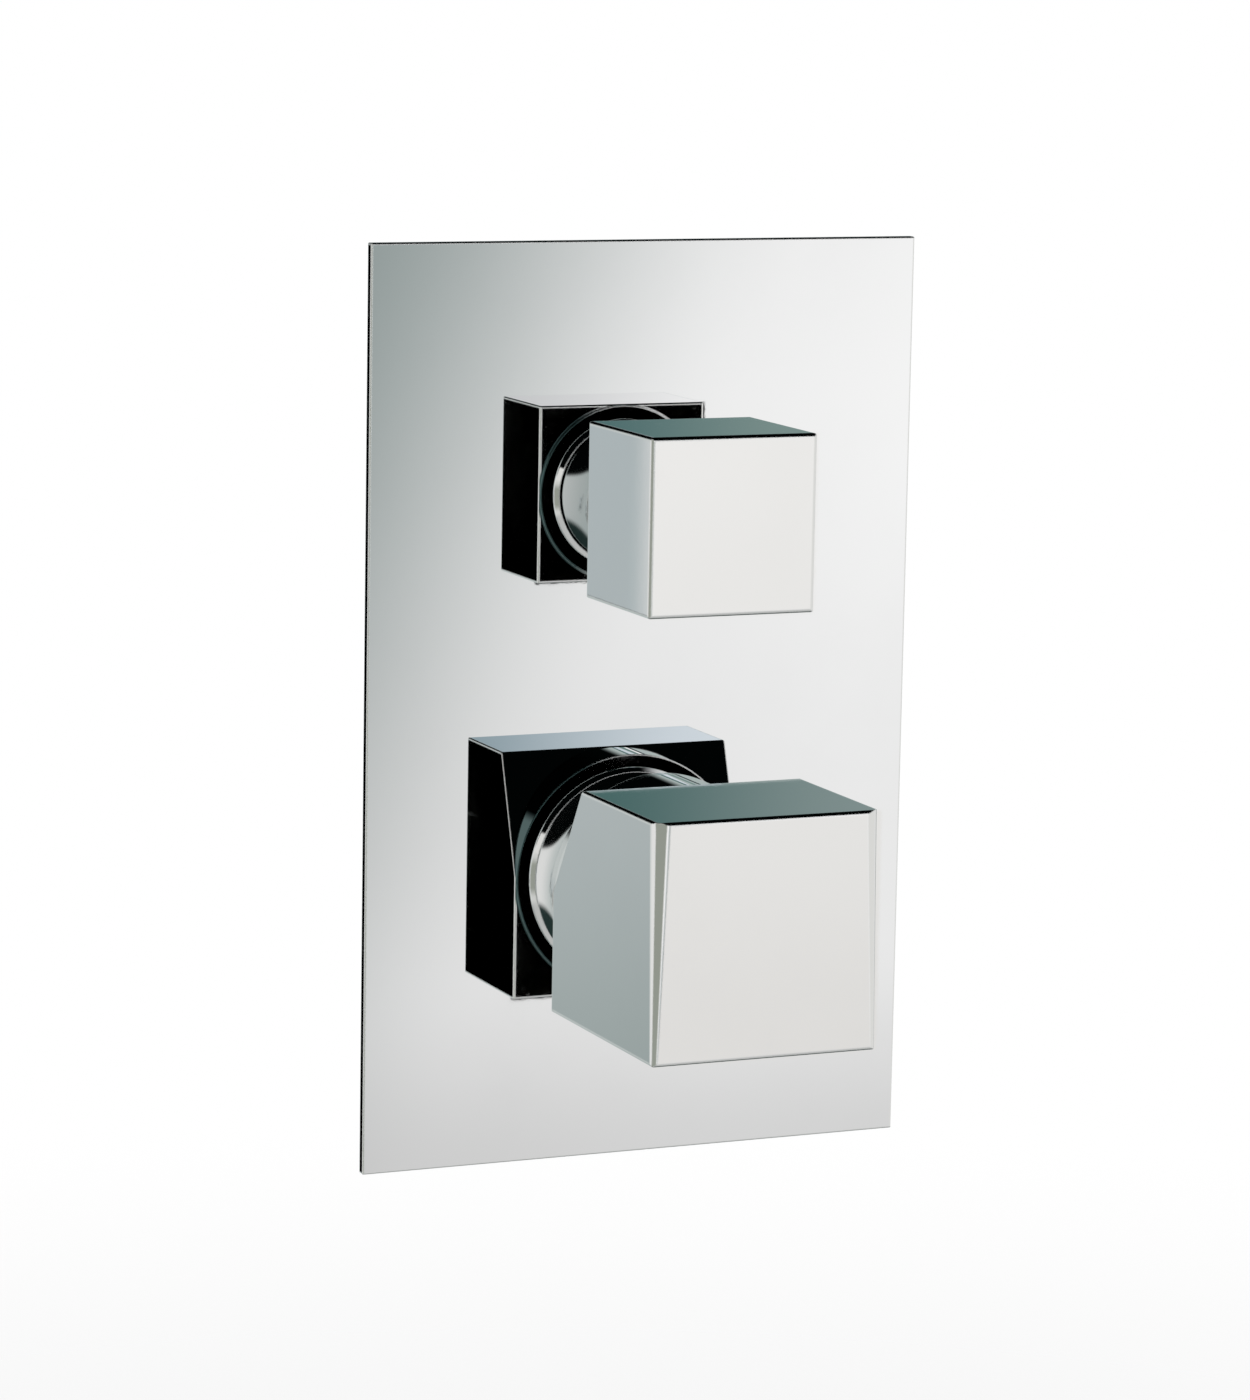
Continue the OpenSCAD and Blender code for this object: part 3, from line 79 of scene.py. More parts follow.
# Places and sizes that part.scad gives, in metres
SPINDLE_X = -0.016
FLOW_Z = 0.0535
TEMPERATURE_Z = -0.0345
PLATE_FRONT_Y = -0.0035
BODY_FRONT_Y = 0.012
INLETS = {"hot": (-0.040, 0.034), "cold": (0.008, 0.034)}
OUTLET = (-0.016, 0.033)
PIPE_END = 0.092
THREAD_LENGTH = 0.014
THREAD_BORE = 0.0095
FLOW_DISC_R = 0.0203
TEMPERATURE_DISC_R = 0.028
# How far back the walls of the discs reach from the bosses' fronts
FLOW_DISC_WALL = 0.001
TEMPERATURE_DISC_WALL = 0.011
# Painted stand-ins for reflections in the photograph, because pieces don't mirror each other here:
# the shade of the discs' walls, and how much of it each neck takes, where 0 is plain chrome
SHADE_COLOUR = (0.08, 0.14, 0.14, 1.0)
FLOW_NECK_SHADE = 0.40
TEMPERATURE_NECK_SHADE = 0.09
# Clearance between a mask and the face that it stops at
HAIR = 0.0001
QUARTER_TURN = math.pi / 2


# Sizes and colours that a user would change

def metres(name, description, default, low=0.0, high=1.0):
    return FloatProperty(name=name, description=description, default=default, min=low, max=high,
                         unit="LENGTH", subtype="DISTANCE", precision=5)


def degrees(name, description, default):
    return FloatProperty(name=name, description=description, default=math.radians(default),
                         subtype="ANGLE", unit="ROTATION", precision=5)


def share(name, description, default, high=1.0):
    return FloatProperty(name=name, description=description, default=default, min=0.0, max=high,
                         subtype="FACTOR")


def colour(name, description, default):
    return FloatVectorProperty(name=name, description=description, default=default, size=3,
                               min=0.0, max=1.0, subtype="COLOR")


class MixerFinishes(bpy.types.PropertyGroup):
    chrome: colour("Chrome", "Colour of the polished trim", (0.92, 0.921, 0.92))
    chrome_roughness: share("Chrome roughness", "Blur of the trim's reflections where it is clean", 0.005)
    smudge_roughness: share("Smudge roughness", "Blur that fingerprints and wiping add", 0.008)
    neck_roughness: share("Neck roughness", "Extra blur on the necks, set to the photograph", 0.09)
    edge_softness: metres("Edge softness", "Rounding that polishing leaves on the trim's edges", 0.0004)
    cast_brass: colour("Cast brass", "Colour of the sand-cast body", (0.60, 0.45, 0.22))
    turned_brass: colour("Turned brass", "Colour of the turned brass parts", (0.76, 0.60, 0.31))
    steel: colour("Stainless steel", "Colour of springs, clips, screws and strainers", (0.60, 0.61, 0.62))
    copper: colour("Copper", "Colour of the wax element", (0.72, 0.40, 0.25))
    rubber: colour("Rubber", "Colour of the ring and square seals", (0.028, 0.028, 0.032))
    foam: colour("Foam", "Colour of the plate's seal", (0.055, 0.056, 0.060))
    ceramic: colour("Ceramic", "Colour of the flow discs", (0.84, 0.82, 0.77))
    plastic: colour("Plastic", "Colour of the bushes, stop ring and check valves", (0.72, 0.73, 0.70))


class MixerSizes(bpy.types.PropertyGroup):
    thread_pitch: metres("Thread pitch", "Pitch of the half-inch pipe threads", 0.001814)
    thread_depth: metres("Thread depth", "How far the thread stands into the pipe ends", 0.00055)
    return_spring_radius: metres("Return spring radius", "Middle radius of the thermostat's spring", 0.0082)
    return_spring_wire: metres("Return spring wire", "Wire radius of the thermostat's spring", 0.00065)
    return_spring_turns: FloatProperty(name="Return spring turns", default=5.0, min=1.0,
                                       description="Turns of the thermostat's spring")
    check_spring_radius: metres("Check spring radius", "Middle radius of the check valves' springs", 0.0036)
    check_spring_wire: metres("Check spring wire", "Wire radius of the check valves' springs", 0.0003)
    check_spring_turns: FloatProperty(name="Check spring turns", default=5.0, min=1.0,
                                      description="Turns of the check valves' springs")
    turn_points: IntProperty(name="Points in a turn", description="Points in each turn of a coil or thread",
                             default=48, min=12, max=96)
    wire_sides: IntProperty(name="Wire sides", description="Sides of a spring's wire",
                            default=16, min=6, max=32)


class MixerStudio(bpy.types.PropertyGroup):
    yaw: degrees("Camera yaw", "Turn of the camera round the mixer, negative to the left", -23.32)
    pitch: degrees("Camera pitch", "Height of the camera above the horizon", 9.27)
    roll: degrees("Camera roll", "Tilt of the picture", 1.03)
    distance: metres("Camera distance", "From the camera to the plate's front", 1.187, high=5.0)
    aim_right: FloatProperty(name="Aim right", description="Place of the picture's middle to the right",
                             default=-0.0038, unit="LENGTH", subtype="DISTANCE", precision=5)
    aim_up: FloatProperty(name="Aim up", description="Place of the picture's middle upwards",
                          default=0.0005, unit="LENGTH", subtype="DISTANCE", precision=5)
    lens: FloatProperty(name="Focal length", description="Focal length for a 36 mm picture height",
                        default=128.06, min=1.0, subtype="DISTANCE_CAMERA")
    floor_drop: metres("Floor drop", "Depth of the floor below the plate's middle", 0.30)
    floor_radius: metres("Floor radius", "Radius of the floor", 0.80, high=3.0)
    key_power: FloatProperty(name="Key lamp", description="Power of the large lamp at the upper left",
                             default=11.0, min=0.0, subtype="POWER", unit="POWER")
    fill_power: FloatProperty(name="Fill lamp", description="Power of the large lamp at the right",
                              default=5.0, min=0.0, subtype="POWER", unit="POWER")
    back_power: FloatProperty(name="Back lamp", description="Power of the large lamp behind the wall plate",
                              default=7.0, min=0.0, subtype="POWER", unit="POWER")
    ambient: share("Ambient", "Light that matt surfaces get from all sides", 0.55)


# Node trees

class Graph:
    """A node tree, with short calls that add nodes and link them."""

    def __init__(self, tree):
        self.tree = tree

    def feed(self, socket, value):
        if isinstance(value, bpy.types.NodeSocket):
            self.tree.links.new(value, socket)
        else:
            socket.default_value = value

    def add(self, kind, inputs=None, **settings):
        node = self.tree.nodes.new(kind)
        for name, value in settings.items():
            setattr(node, name, value)
        for key, value in (inputs or {}).items():
            self.feed(node.inputs[key], value)
        return node

    def math(self, operation, *values, clamp=False):
        kind = "ShaderNodeMath"
        return self.add(kind, dict(enumerate(values)), operation=operation, use_clamp=clamp).outputs[0]

    def vector(self, operation, *values):
        node = self.add("ShaderNodeVectorMath", dict(enumerate(values)), operation=operation)
        return node.outputs["Value" if operation in ("LENGTH", "DOT_PRODUCT") else "Vector"]

    def ramp(self, value, low, high, to_low=0.0, to_high=1.0):
        """Value taken smoothly from low..high to to_low..to_high."""
        inputs = {"Value": value, "From Min": low, "From Max": high, "To Min": to_low, "To Max": to_high}
        return self.add("ShaderNodeMapRange", inputs, interpolation_type="SMOOTHSTEP").outputs["Result"]

    def mix(self, factor, first, second, blend="MIX"):
        node = self.add("ShaderNodeMix", {0: factor, 6: first, 7: second}, data_type="RGBA", blend_type=blend)
        return node.outputs[2]

    def noise(self, coordinates, scale, detail=3.0, roughness=0.5):
        inputs = {"Vector": coordinates, "Scale": scale, "Detail": detail, "Roughness": roughness}
        return self.add("ShaderNodeTexNoise", inputs).outputs["Fac"]

    def group(self, tree, **inputs):
        node = self.tree.nodes.new("ShaderNodeGroup")
        node.node_tree = tree
        for key, value in inputs.items():
            self.feed(node.inputs[key.replace("_", " ").capitalize()], value)
        return node.outputs


def make_group(name, inputs, outputs, kind="ShaderNodeTree"):
    """An empty node group with named sockets. Returns its graph, its inputs and its output node."""
    tree = bpy.data.node_groups.new(name, kind)
    for label, socket, value in inputs:
        item = tree.interface.new_socket(label, in_out="INPUT", socket_type="NodeSocket" + socket)
        if value is not None:
            item.default_value = value
    for label, socket in outputs:
        tree.interface.new_socket(label, in_out="OUTPUT", socket_type="NodeSocket" + socket)
    graph = Graph(tree)
    return graph, graph.add("NodeGroupInput").outputs, graph.add("NodeGroupOutput")


def make_grain_group():
    """Fine grain of a cast, moulded or rubber surface."""
    graph, given, result = make_group(
        "fine_grain",
        [("Coordinates", "Vector", None), ("Grain", "Float", 0.001), ("Variation", "Float", 0.5)],
        [("Height", "Float"), ("Tone", "Float")])
    scale = graph.math("DIVIDE", 1.0, given["Grain"])
    fine = graph.noise(given["Coordinates"], scale, detail=4.0, roughness=0.6)
    coarse = graph.noise(given["Coordinates"], graph.math("MULTIPLY", scale, 0.11), detail=2.0)
    height = graph.math("MULTIPLY_ADD", coarse, given["Variation"], fine)
    graph.feed(result.inputs["Height"], height)
    graph.feed(result.inputs["Tone"], graph.ramp(coarse, 0.32, 0.68))
    return graph.tree


def make_turning_group():
    """Fine rings that a lathe leaves round an axis that runs along Y."""
    graph, given, result = make_group(
        "turning_rings",
        [("Coordinates", "Vector", None), ("Axis", "Vector", (0.0, 0.0, 0.0)), ("Pitch", "Float", 0.0004)],
        [("Height", "Float"), ("Tone", "Float")])
    local = graph.vector("SUBTRACT", given["Coordinates"], given["Axis"])
    split = graph.add("ShaderNodeSeparateXYZ", {"Vector": local}).outputs
    radius = graph.math("SQRT", graph.math("ADD", graph.math("MULTIPLY", split["X"], split["X"]),
                                           graph.math("MULTIPLY", split["Z"], split["Z"])))
    along = graph.math("DIVIDE", graph.math("ADD", radius, split["Y"]), given["Pitch"])
    wander = graph.noise(graph.add("ShaderNodeCombineXYZ", {"X": along}).outputs[0], 0.35, detail=2.0)
    phase = graph.math("MULTIPLY_ADD", wander, 2.0, along)
    wave = graph.math("SINE", graph.math("MULTIPLY", phase, 2 * math.pi))
    graph.feed(result.inputs["Height"], graph.math("MULTIPLY_ADD", wave, 0.5, 0.5))
    graph.feed(result.inputs["Tone"], graph.ramp(wander, 0.3, 0.7))
    return graph.tree


def make_handling_group():
    """Soft patches left by hands and wiping, and thin random scratches."""
    graph, given, result = make_group(
        "handling_marks",
        [("Coordinates", "Vector", None), ("Patch", "Float", 0.03)],
        [("Smudge", "Float"), ("Scratch", "Float")])
    scale = graph.math("DIVIDE", 1.0, given["Patch"])
    cloud = graph.noise(given["Coordinates"], scale, detail=5.0, roughness=0.62)
    stretched = graph.add("ShaderNodeMapping", {"Vector": given["Coordinates"], "Rotation": (0.5, 0.2, 0.7),
                                                "Scale": (40.0, 3.0, 40.0)}).outputs[0]
    lines = graph.noise(stretched, 22.0, detail=2.0)
    graph.feed(result.inputs["Smudge"], graph.ramp(cloud, 0.42, 0.72))
    graph.feed(result.inputs["Scratch"], graph.ramp(lines, 0.68, 0.74))
    return graph.tree


def make_edge_group():
    """Mask of sharp outer and inner edges, where handling and machining brighten metal."""
    graph, given, result = make_group(
        "worn_edges", [("Width", "Float", 0.0003)], [("Edge", "Float"), ("Normal", "Vector")])
    rounded = graph.add("ShaderNodeBevel", {"Radius": given["Width"]}, samples=4).outputs[0]
    surface = graph.add("ShaderNodeNewGeometry").outputs["Normal"]
    turn = graph.math("SUBTRACT", 1.0, graph.vector("DOT_PRODUCT", rounded, surface))
    graph.feed(result.inputs["Edge"], graph.ramp(turn, 0.01, 0.12))
    graph.feed(result.inputs["Normal"], rounded)
    return graph.tree


GROUP_MAKERS = {"fine_grain": make_grain_group, "turning_rings": make_turning_group,
                "handling_marks": make_handling_group, "worn_edges": make_edge_group}


def shared_group(name):
    return bpy.data.node_groups.get(name) or GROUP_MAKERS[name]()


# Materials

def start_material(name):
    """A new material with its surface shader. Returns it, its graph, its shader and the coordinates."""
    material = bpy.data.materials.new(name)
    material.use_nodes = True
    material.node_tree.nodes.clear()
    graph = Graph(material.node_tree)
    surface = graph.add("ShaderNodeBsdfPrincipled")
    output = graph.add("ShaderNodeOutputMaterial")
    graph.feed(output.inputs["Surface"], surface.outputs["BSDF"])
    return material, graph, surface, graph.add("ShaderNodeTexCoord").outputs["Object"]


def tint(rgb, factor):
    return (rgb[0] * factor, rgb[1] * factor, rgb[2] * factor, 1.0)


def add_bump(graph, surface, height, depth, normal=None):
    inputs = {"Height": height, "Distance": depth, "Strength": 1.0}
    if normal is not None:
        inputs["Normal"] = normal
    graph.feed(surface.inputs["Normal"], graph.add("ShaderNodeBump", inputs).outputs[0])


def between(graph, value, low, high, softness=0.000001):
    """Mask of the values from low to high."""
    return graph.math("MULTIPLY", graph.ramp(value, low - softness, low),
                      graph.ramp(value, high, high + softness, 1.0, 0.0))


def spindle_masks(graph, place):
    """Painted shade on the left of the discs' walls and on the necks, and a mask of the necks."""
    half = 0.0003
    shade_left, shade_right = -0.012, -0.004
    split = graph.add("ShaderNodeSeparateXYZ", {"Vector": place}).outputs
    across = graph.math("SUBTRACT", split["X"], SPINDLE_X)
    shades, necks = [], []
    for side, height, radius, wall, neck_shade in (
            ("flow", FLOW_Z, FLOW_DISC_R, FLOW_DISC_WALL, FLOW_NECK_SHADE),
            ("temperature", TEMPERATURE_Z, TEMPERATURE_DISC_R, TEMPERATURE_DISC_WALL,
             TEMPERATURE_NECK_SHADE)):
        up = graph.math("SUBTRACT", split["Z"], height)
        squares = graph.math("ADD", graph.math("MULTIPLY", across, across), graph.math("MULTIPLY", up, up))
        distance = graph.math("SQRT", squares)
        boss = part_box(side + "_boss")[0]
        ring = graph.math("MULTIPLY", between(graph, distance, radius - half, radius + half, half),
                          between(graph, split["Y"], boss.y - 2 * HAIR, boss.y + wall))
        shaded = graph.math("MULTIPLY", graph.ramp(across, shade_left, shade_right, 1.0, 0.0),
                            graph.math("GREATER_THAN", split["X"], boss.x + HAIR))
        knob_back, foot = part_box(side + "_knob")[1].y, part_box(side + "_neck")[1].y
        neck = graph.math("MULTIPLY", graph.ramp(distance, radius, radius + HAIR, 1.0, 0.0),
                          between(graph, split["Y"], knob_back + 2 * HAIR, foot + HAIR))
        necks.append(neck)
        shades.append(graph.math("MAXIMUM", graph.math("MULTIPLY", ring, shaded),
                                 graph.math("MULTIPLY", neck, neck_shade)))
    return graph.math("MAXIMUM", *shades), graph.math("MAXIMUM", *necks)


def chrome_material(finishes):
    material, graph, surface, place = start_material("polished_chrome")
    marks = graph.group(shared_group("handling_marks"), coordinates=place, patch=0.045)
    grain = graph.group(shared_group("fine_grain"), coordinates=place, grain=0.004, variation=1.0)
    chrome = finishes.chrome
    shade, necks = spindle_masks(graph, place)
    bright = graph.mix(marks["Smudge"], tint(chrome, 1.0), tint(chrome, 0.985))
    graph.feed(surface.inputs["Base Color"], graph.mix(shade, bright, SHADE_COLOUR))
    surface.inputs["Metallic"].default_value = 1.0
    clean = graph.math("MULTIPLY_ADD", necks, finishes.neck_roughness, finishes.chrome_roughness)
    rough = graph.math("MULTIPLY_ADD", marks["Smudge"], finishes.smudge_roughness, clean)
    graph.feed(surface.inputs["Roughness"], graph.math("MULTIPLY_ADD", marks["Scratch"], 0.01, rough))
    edges = graph.group(shared_group("worn_edges"), width=finishes.edge_softness)
    add_bump(graph, surface, grain["Height"], 0.0000004, edges["Normal"])
    return material


def cast_brass_material(finishes):
    material, graph, surface, place = start_material("cast_brass")
    grain = graph.group(shared_group("fine_grain"), coordinates=place, grain=0.0011, variation=0.8)
    edges = graph.group(shared_group("worn_edges"), width=0.0007)
    split = graph.add("ShaderNodeSeparateXYZ", {"Vector": place}).outputs
    front = graph.math("LESS_THAN", split["Y"], BODY_FRONT_Y + 2 * HAIR)
    ends = graph.math("GREATER_THAN", graph.math("ABSOLUTE", split["Z"]), PIPE_END - 2 * HAIR)
    cut = graph.math("MAXIMUM", front, ends)
    machined = graph.math("MAXIMUM", cut, graph.math("MULTIPLY", edges["Edge"], 0.7))
    brass = finishes.cast_brass
    cast = graph.mix(grain["Tone"], tint(brass, 0.78), tint(brass, 1.0))
    graph.feed(surface.inputs["Base Color"], graph.mix(machined, cast, tint(finishes.turned_brass, 1.0)))
    surface.inputs["Metallic"].default_value = 1.0
    graph.feed(surface.inputs["Roughness"], graph.ramp(machined, 0.0, 1.0, 0.5, 0.24))
    height = graph.math("MULTIPLY", grain["Height"], graph.math("SUBTRACT", 1.0, cut))
    add_bump(graph, surface, height, 0.00014, edges["Normal"])
    return material


def turned_material(name, rgb, axis, pitch=0.00045, roughness=0.24):
    """Turned metal, with its rings round the axis that the piece was turned on."""
    material, graph, surface, place = start_material(name)
    rings = graph.group(shared_group("turning_rings"), coordinates=place, axis=axis, pitch=pitch)
    marks = graph.group(shared_group("handling_marks"), coordinates=place, patch=0.012)
    edges = graph.group(shared_group("worn_edges"), width=0.00025)
    tone = graph.mix(rings["Tone"], tint(rgb, 0.9), tint(rgb, 1.0))
    tone = graph.mix(marks["Smudge"], tone, tint(rgb, 0.82))
    graph.feed(surface.inputs["Base Color"], graph.mix(edges["Edge"], tone, tint(rgb, 1.12)))
    surface.inputs["Metallic"].default_value = 1.0
    graph.feed(surface.inputs["Roughness"], graph.math("MULTIPLY_ADD", marks["Smudge"], 0.16, roughness))
    add_bump(graph, surface, rings["Height"], 0.000012, edges["Normal"])
    return material


def copper_material(finishes):
    material, graph, surface, place = start_material("drawn_copper")
    marks = graph.group(shared_group("handling_marks"), coordinates=place, patch=0.006)
    rings = graph.group(shared_group("turning_rings"), coordinates=place,
                        axis=(SPINDLE_X, 0.0, TEMPERATURE_Z), pitch=0.0006)
    copper = finishes.copper
    stained = tint((copper[0] * 0.55, copper[1] * 0.5, copper[2] * 0.55), 1.0)
    graph.feed(surface.inputs["Base Color"], graph.mix(marks["Smudge"], tint(copper, 1.0), stained))
    surface.inputs["Metallic"].default_value = 1.0
    graph.feed(surface.inputs["Roughness"], graph.math("MULTIPLY_ADD", marks["Smudge"], 0.22, 0.26))
    add_bump(graph, surface, rings["Height"], 0.00001)
    return material


def matt_material(name, rgb, grain, depth, roughness, mottle=0.85, specular=0.5):
    """Rubber, foam, plastic or ceramic: one colour, gently mottled, with its own grain."""
    material, graph, surface, place = start_material(name)
    skin = graph.group(shared_group("fine_grain"), coordinates=place, grain=grain, variation=0.7)
    marks = graph.group(shared_group("handling_marks"), coordinates=place, patch=0.01)
    graph.feed(surface.inputs["Base Color"], graph.mix(skin["Tone"], tint(rgb, mottle), tint(rgb, 1.0)))
    graph.feed(surface.inputs["Roughness"], graph.math("MULTIPLY_ADD", marks["Smudge"], 0.12, roughness))
    surface.inputs["Specular IOR Level"].default_value = specular
    add_bump(graph, surface, skin["Height"], depth)
    return material


def foam_material(finishes):
    material, graph, surface, place = start_material("closed_cell_foam")
    cells = graph.add("ShaderNodeTexVoronoi", {"Vector": place, "Scale": 900.0}, feature="DISTANCE_TO_EDGE")
    skin = graph.group(shared_group("fine_grain"), coordinates=place, grain=0.0015, variation=0.6)
    wall = graph.ramp(cells.outputs["Distance"], 0.0, 0.22)
    foam = finishes.foam
    # Painted shade and light: the cells' hollows darker and their rims lighter than the foam's own colour
    dark = graph.mix(wall, tint(foam, 1.3), tint(foam, 0.75))
    graph.feed(surface.inputs["Base Color"], graph.mix(skin["Tone"], dark, tint(foam, 1.0)))
    surface.inputs["Roughness"].default_value = 0.93
    add_bump(graph, surface, graph.math("MULTIPLY_ADD", wall, -0.6, skin["Height"]), 0.00012)
    return material


def dress(slot, material):
    """Gives the material to every CAD node that has this slot."""
    names = [name for name, its_slot in NODE_SLOT.items() if its_slot == slot]
    if not names:
        raise RuntimeError(f"no node has the slot {slot}")
    for name in names:
        for place in frame["nodes"][name].material_slots:
            place.material = material


# Coils and threads, made by Geometry Nodes

def make_coil_tree():
    """Round wire wound in a coil, or a ridge wound as a thread, about an axis along Z."""
    graph, given, result = make_group(
        "wound_coil",
        [("Radius", "Float", 0.005), ("Wire Radius", "Float", 0.0005), ("Turns", "Float", 5.0),
         ("Length", "Float", 0.02), ("Turn Points", "Int", 48), ("Wire Sides", "Int", 16),
         ("Rotation", "Rotation", None), ("Place", "Vector", (0.0, 0.0, 0.0)),
         ("Material", "Material", None)],
        [("Geometry", "Geometry")], kind="GeometryNodeTree")
    path = graph.add("GeometryNodeCurveSpiral", {
        "Resolution": given["Turn Points"], "Rotations": given["Turns"], "Start Radius": given["Radius"],
        "End Radius": given["Radius"], "Height": given["Length"]})
    upright = graph.add("GeometryNodeSetCurveNormal", {"Curve": path.outputs["Curve"]}, mode="Z_UP")
    wire = graph.add("GeometryNodeCurvePrimitiveCircle",
                     {"Resolution": given["Wire Sides"], "Radius": given["Wire Radius"]})
    tube = graph.add("GeometryNodeCurveToMesh", {
        "Curve": upright.outputs["Curve"], "Profile Curve": wire.outputs["Curve"], "Fill Caps": True})
    smooth = graph.add("GeometryNodeSetShadeSmooth", {"Geometry": tube.outputs["Mesh"]})
    placed = graph.add("GeometryNodeTransform", {
        "Geometry": smooth.outputs["Geometry"], "Translation": given["Place"], "Rotation": given["Rotation"]})
    real = graph.add("GeometryNodeRealizeInstances", {"Geometry": placed.outputs["Geometry"]})
    painted = graph.add("GeometryNodeSetMaterial", {
        "Geometry": real.outputs["Geometry"], "Material": given["Material"]})
    graph.feed(result.inputs["Geometry"], painted.outputs["Geometry"])
    return graph.tree


def plain_mesh(name, tree, values):
    """Runs a Geometry Nodes tree and keeps its result as a plain mesh object."""
    holder = bpy.data.objects.new(name + "_maker", bpy.data.meshes.new(name + "_maker"))
    bpy.context.scene.collection.objects.link(holder)
    modifier = holder.modifiers.new("shape", "NODES")
    modifier.node_group = tree
    for item in tree.interface.items_tree:
        if item.in_out == "INPUT" and item.name in values:
            modifier[item.identifier] = values[item.name]
    evaluated = holder.evaluated_get(bpy.context.evaluated_depsgraph_get())
    mesh = bpy.data.meshes.new_from_object(evaluated)
    mesh.name = name
    holder.modifiers.remove(modifier)
    bpy.data.objects.remove(holder)
    if not mesh.polygons:
        raise RuntimeError(f"{name} came out empty")
    piece = bpy.data.objects.new(name, mesh)
    bpy.context.scene.collection.objects.link(piece)
    return piece


def coil_tree():
    return bpy.data.node_groups.get("wound_coil") or make_coil_tree()


# Operators

class MIXER_OT_chrome_trim(bpy.types.Operator):
    """Polished chrome on the plate, bosses, collars, necks and knobs"""
    bl_idname = "mixer.chrome_trim"
    bl_label = "Chrome trim"

    def execute(self, context):
        dress("chrome_trim", chrome_material(context.scene.mixer_finishes))
        return {"FINISHED"}


class MIXER_OT_valve_body(bpy.types.Operator):
    """Sand-cast brass with machined faces on the valve body"""
    bl_idname = "mixer.valve_body"
    bl_label = "Valve body"

    def execute(self, context):
        dress("cast_brass", cast_brass_material(context.scene.mixer_finishes))
        return {"FINISHED"}


class MIXER_OT_turned_parts(bpy.types.Operator):
    """Turned brass on the sleeves, cartridges, spindles and extensions"""
    bl_idname = "mixer.turned_parts"
    bl_label = "Turned brass parts"

    def execute(self, context):
        brass = tuple(context.scene.mixer_finishes.turned_brass)
        flow = turned_material("turned_brass_flow", brass, (SPINDLE_X, 0.0, FLOW_Z))
        temperature = turned_material("turned_brass_temperature", brass, (SPINDLE_X, 0.0, TEMPERATURE_Z))
        for name, slot in NODE_SLOT.items():
            if slot == "turned_brass":
                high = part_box(name)[0].z > 0.0
                for place in frame["nodes"][name].material_slots:
                    place.material = flow if high else temperature
        return {"FINISHED"}


class MIXER_OT_steel_parts(bpy.types.Operator):
    """Stainless steel on the clips, screws, shuttle and strainers"""
    bl_idname = "mixer.steel_parts"
    bl_label = "Steel parts"

    def execute(self, context):
        steel = tuple(context.scene.mixer_finishes.steel)
        dress("stainless_steel", turned_material("stainless_steel", steel, (SPINDLE_X, 0.0, TEMPERATURE_Z),
                                                 pitch=0.0003, roughness=0.2))
        return {"FINISHED"}


class MIXER_OT_copper_element(bpy.types.Operator):
    """Drawn copper, a little stained, on the thermostat's wax element"""
    bl_idname = "mixer.copper_element"
    bl_label = "Wax element"

    def execute(self, context):
        dress("copper", copper_material(context.scene.mixer_finishes))
        return {"FINISHED"}


class MIXER_OT_seals(bpy.types.Operator):
    """Rubber on the ring and square seals, foam on the plate's seal"""
    bl_idname = "mixer.seals"
    bl_label = "Seals"

    def execute(self, context):
        finishes = context.scene.mixer_finishes
        dress("black_rubber", matt_material("black_rubber", tuple(finishes.rubber), 0.0005, 0.00003, 0.52))
        dress("grey_foam", foam_material(finishes))
        return {"FINISHED"}


class MIXER_OT_ceramic_discs(bpy.types.Operator):
    """Lapped ceramic on the flow cartridge's discs"""
    bl_idname = "mixer.ceramic_discs"
    bl_label = "Ceramic discs"

    def execute(self, context):
        ceramic = tuple(context.scene.mixer_finishes.ceramic)
        dress("white_ceramic", matt_material("white_ceramic", ceramic, 0.0004, 0.000004, 0.14, mottle=0.94))
        return {"FINISHED"}


class MIXER_OT_plastic_parts(bpy.types.Operator):
    """Moulded plastic on the splined bushes, stop ring and check valves"""
    bl_idname = "mixer.plastic_parts"
    bl_label = "Plastic parts"

    def execute(self, context):
        plastic = tuple(context.scene.mixer_finishes.plastic)
        dress("pale_plastic", matt_material("pale_plastic", plastic, 0.0006, 0.00002, 0.36, mottle=0.92))
        return {"FINISHED"}


class MIXER_OT_springs(bpy.types.Operator):
    """Wound steel springs in the thermostat and the two check valves"""
    bl_idname = "mixer.springs"
    bl_label = "Springs"

    def wind(self, name, node, body, ends, shape, rotation, place, length, sizes, material):
        """Winds a spring of one shape (middle radius, wire radius, turns) in place of its CAD node.

        The body and the ends are not used.
        """
        radius, wire, turns = shape
        piece = plain_mesh(name, coil_tree(), {
            "Radius": radius, "Wire Radius": wire, "Turns": turns, "Length": length - 2 * wire,
            "Turn Points": sizes.turn_points, "Wire Sides": sizes.wire_sides, "Rotation": rotation,
            "Place": place, "Material": material})
        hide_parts(node)
        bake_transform(piece)

    def execute(self, context):
        sizes = context.scene.mixer_sizes
        steel = tuple(context.scene.mixer_finishes.steel)
        wire = turned_material("spring_wire", steel, (SPINDLE_X, 0.0, TEMPERATURE_Z),
                               pitch=0.0009, roughness=0.22)
        low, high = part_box("thermostat_spring")
        ends = ((SPINDLE_X, high.y, TEMPERATURE_Z), (SPINDLE_X, low.y, TEMPERATURE_Z))
        shape = sizes.return_spring_radius, sizes.return_spring_wire, sizes.return_spring_turns
        self.wind("return_spring", "thermostat_spring", "thermostat", ends, shape, (QUARTER_TURN, 0.0, 0.0),
                  (SPINDLE_X, high.y - sizes.return_spring_wire, TEMPERATURE_Z), high.y - low.y, sizes, wire)
        shape = sizes.check_spring_radius, sizes.check_spring_wire, sizes.check_spring_turns
        for side, (x, y) in INLETS.items():
            low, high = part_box(f"{side}_check_spring")
            ends = ((x, y, high.z), (x, y, low.z))
            self.wind(f"{side}_spring", f"{side}_check_spring", f"{side}_check", ends, shape,
                      (0.0, 0.0, 0.0), (x, y, low.z + sizes.check_spring_wire), high.z - low.z, sizes, wire)
        return {"FINISHED"}


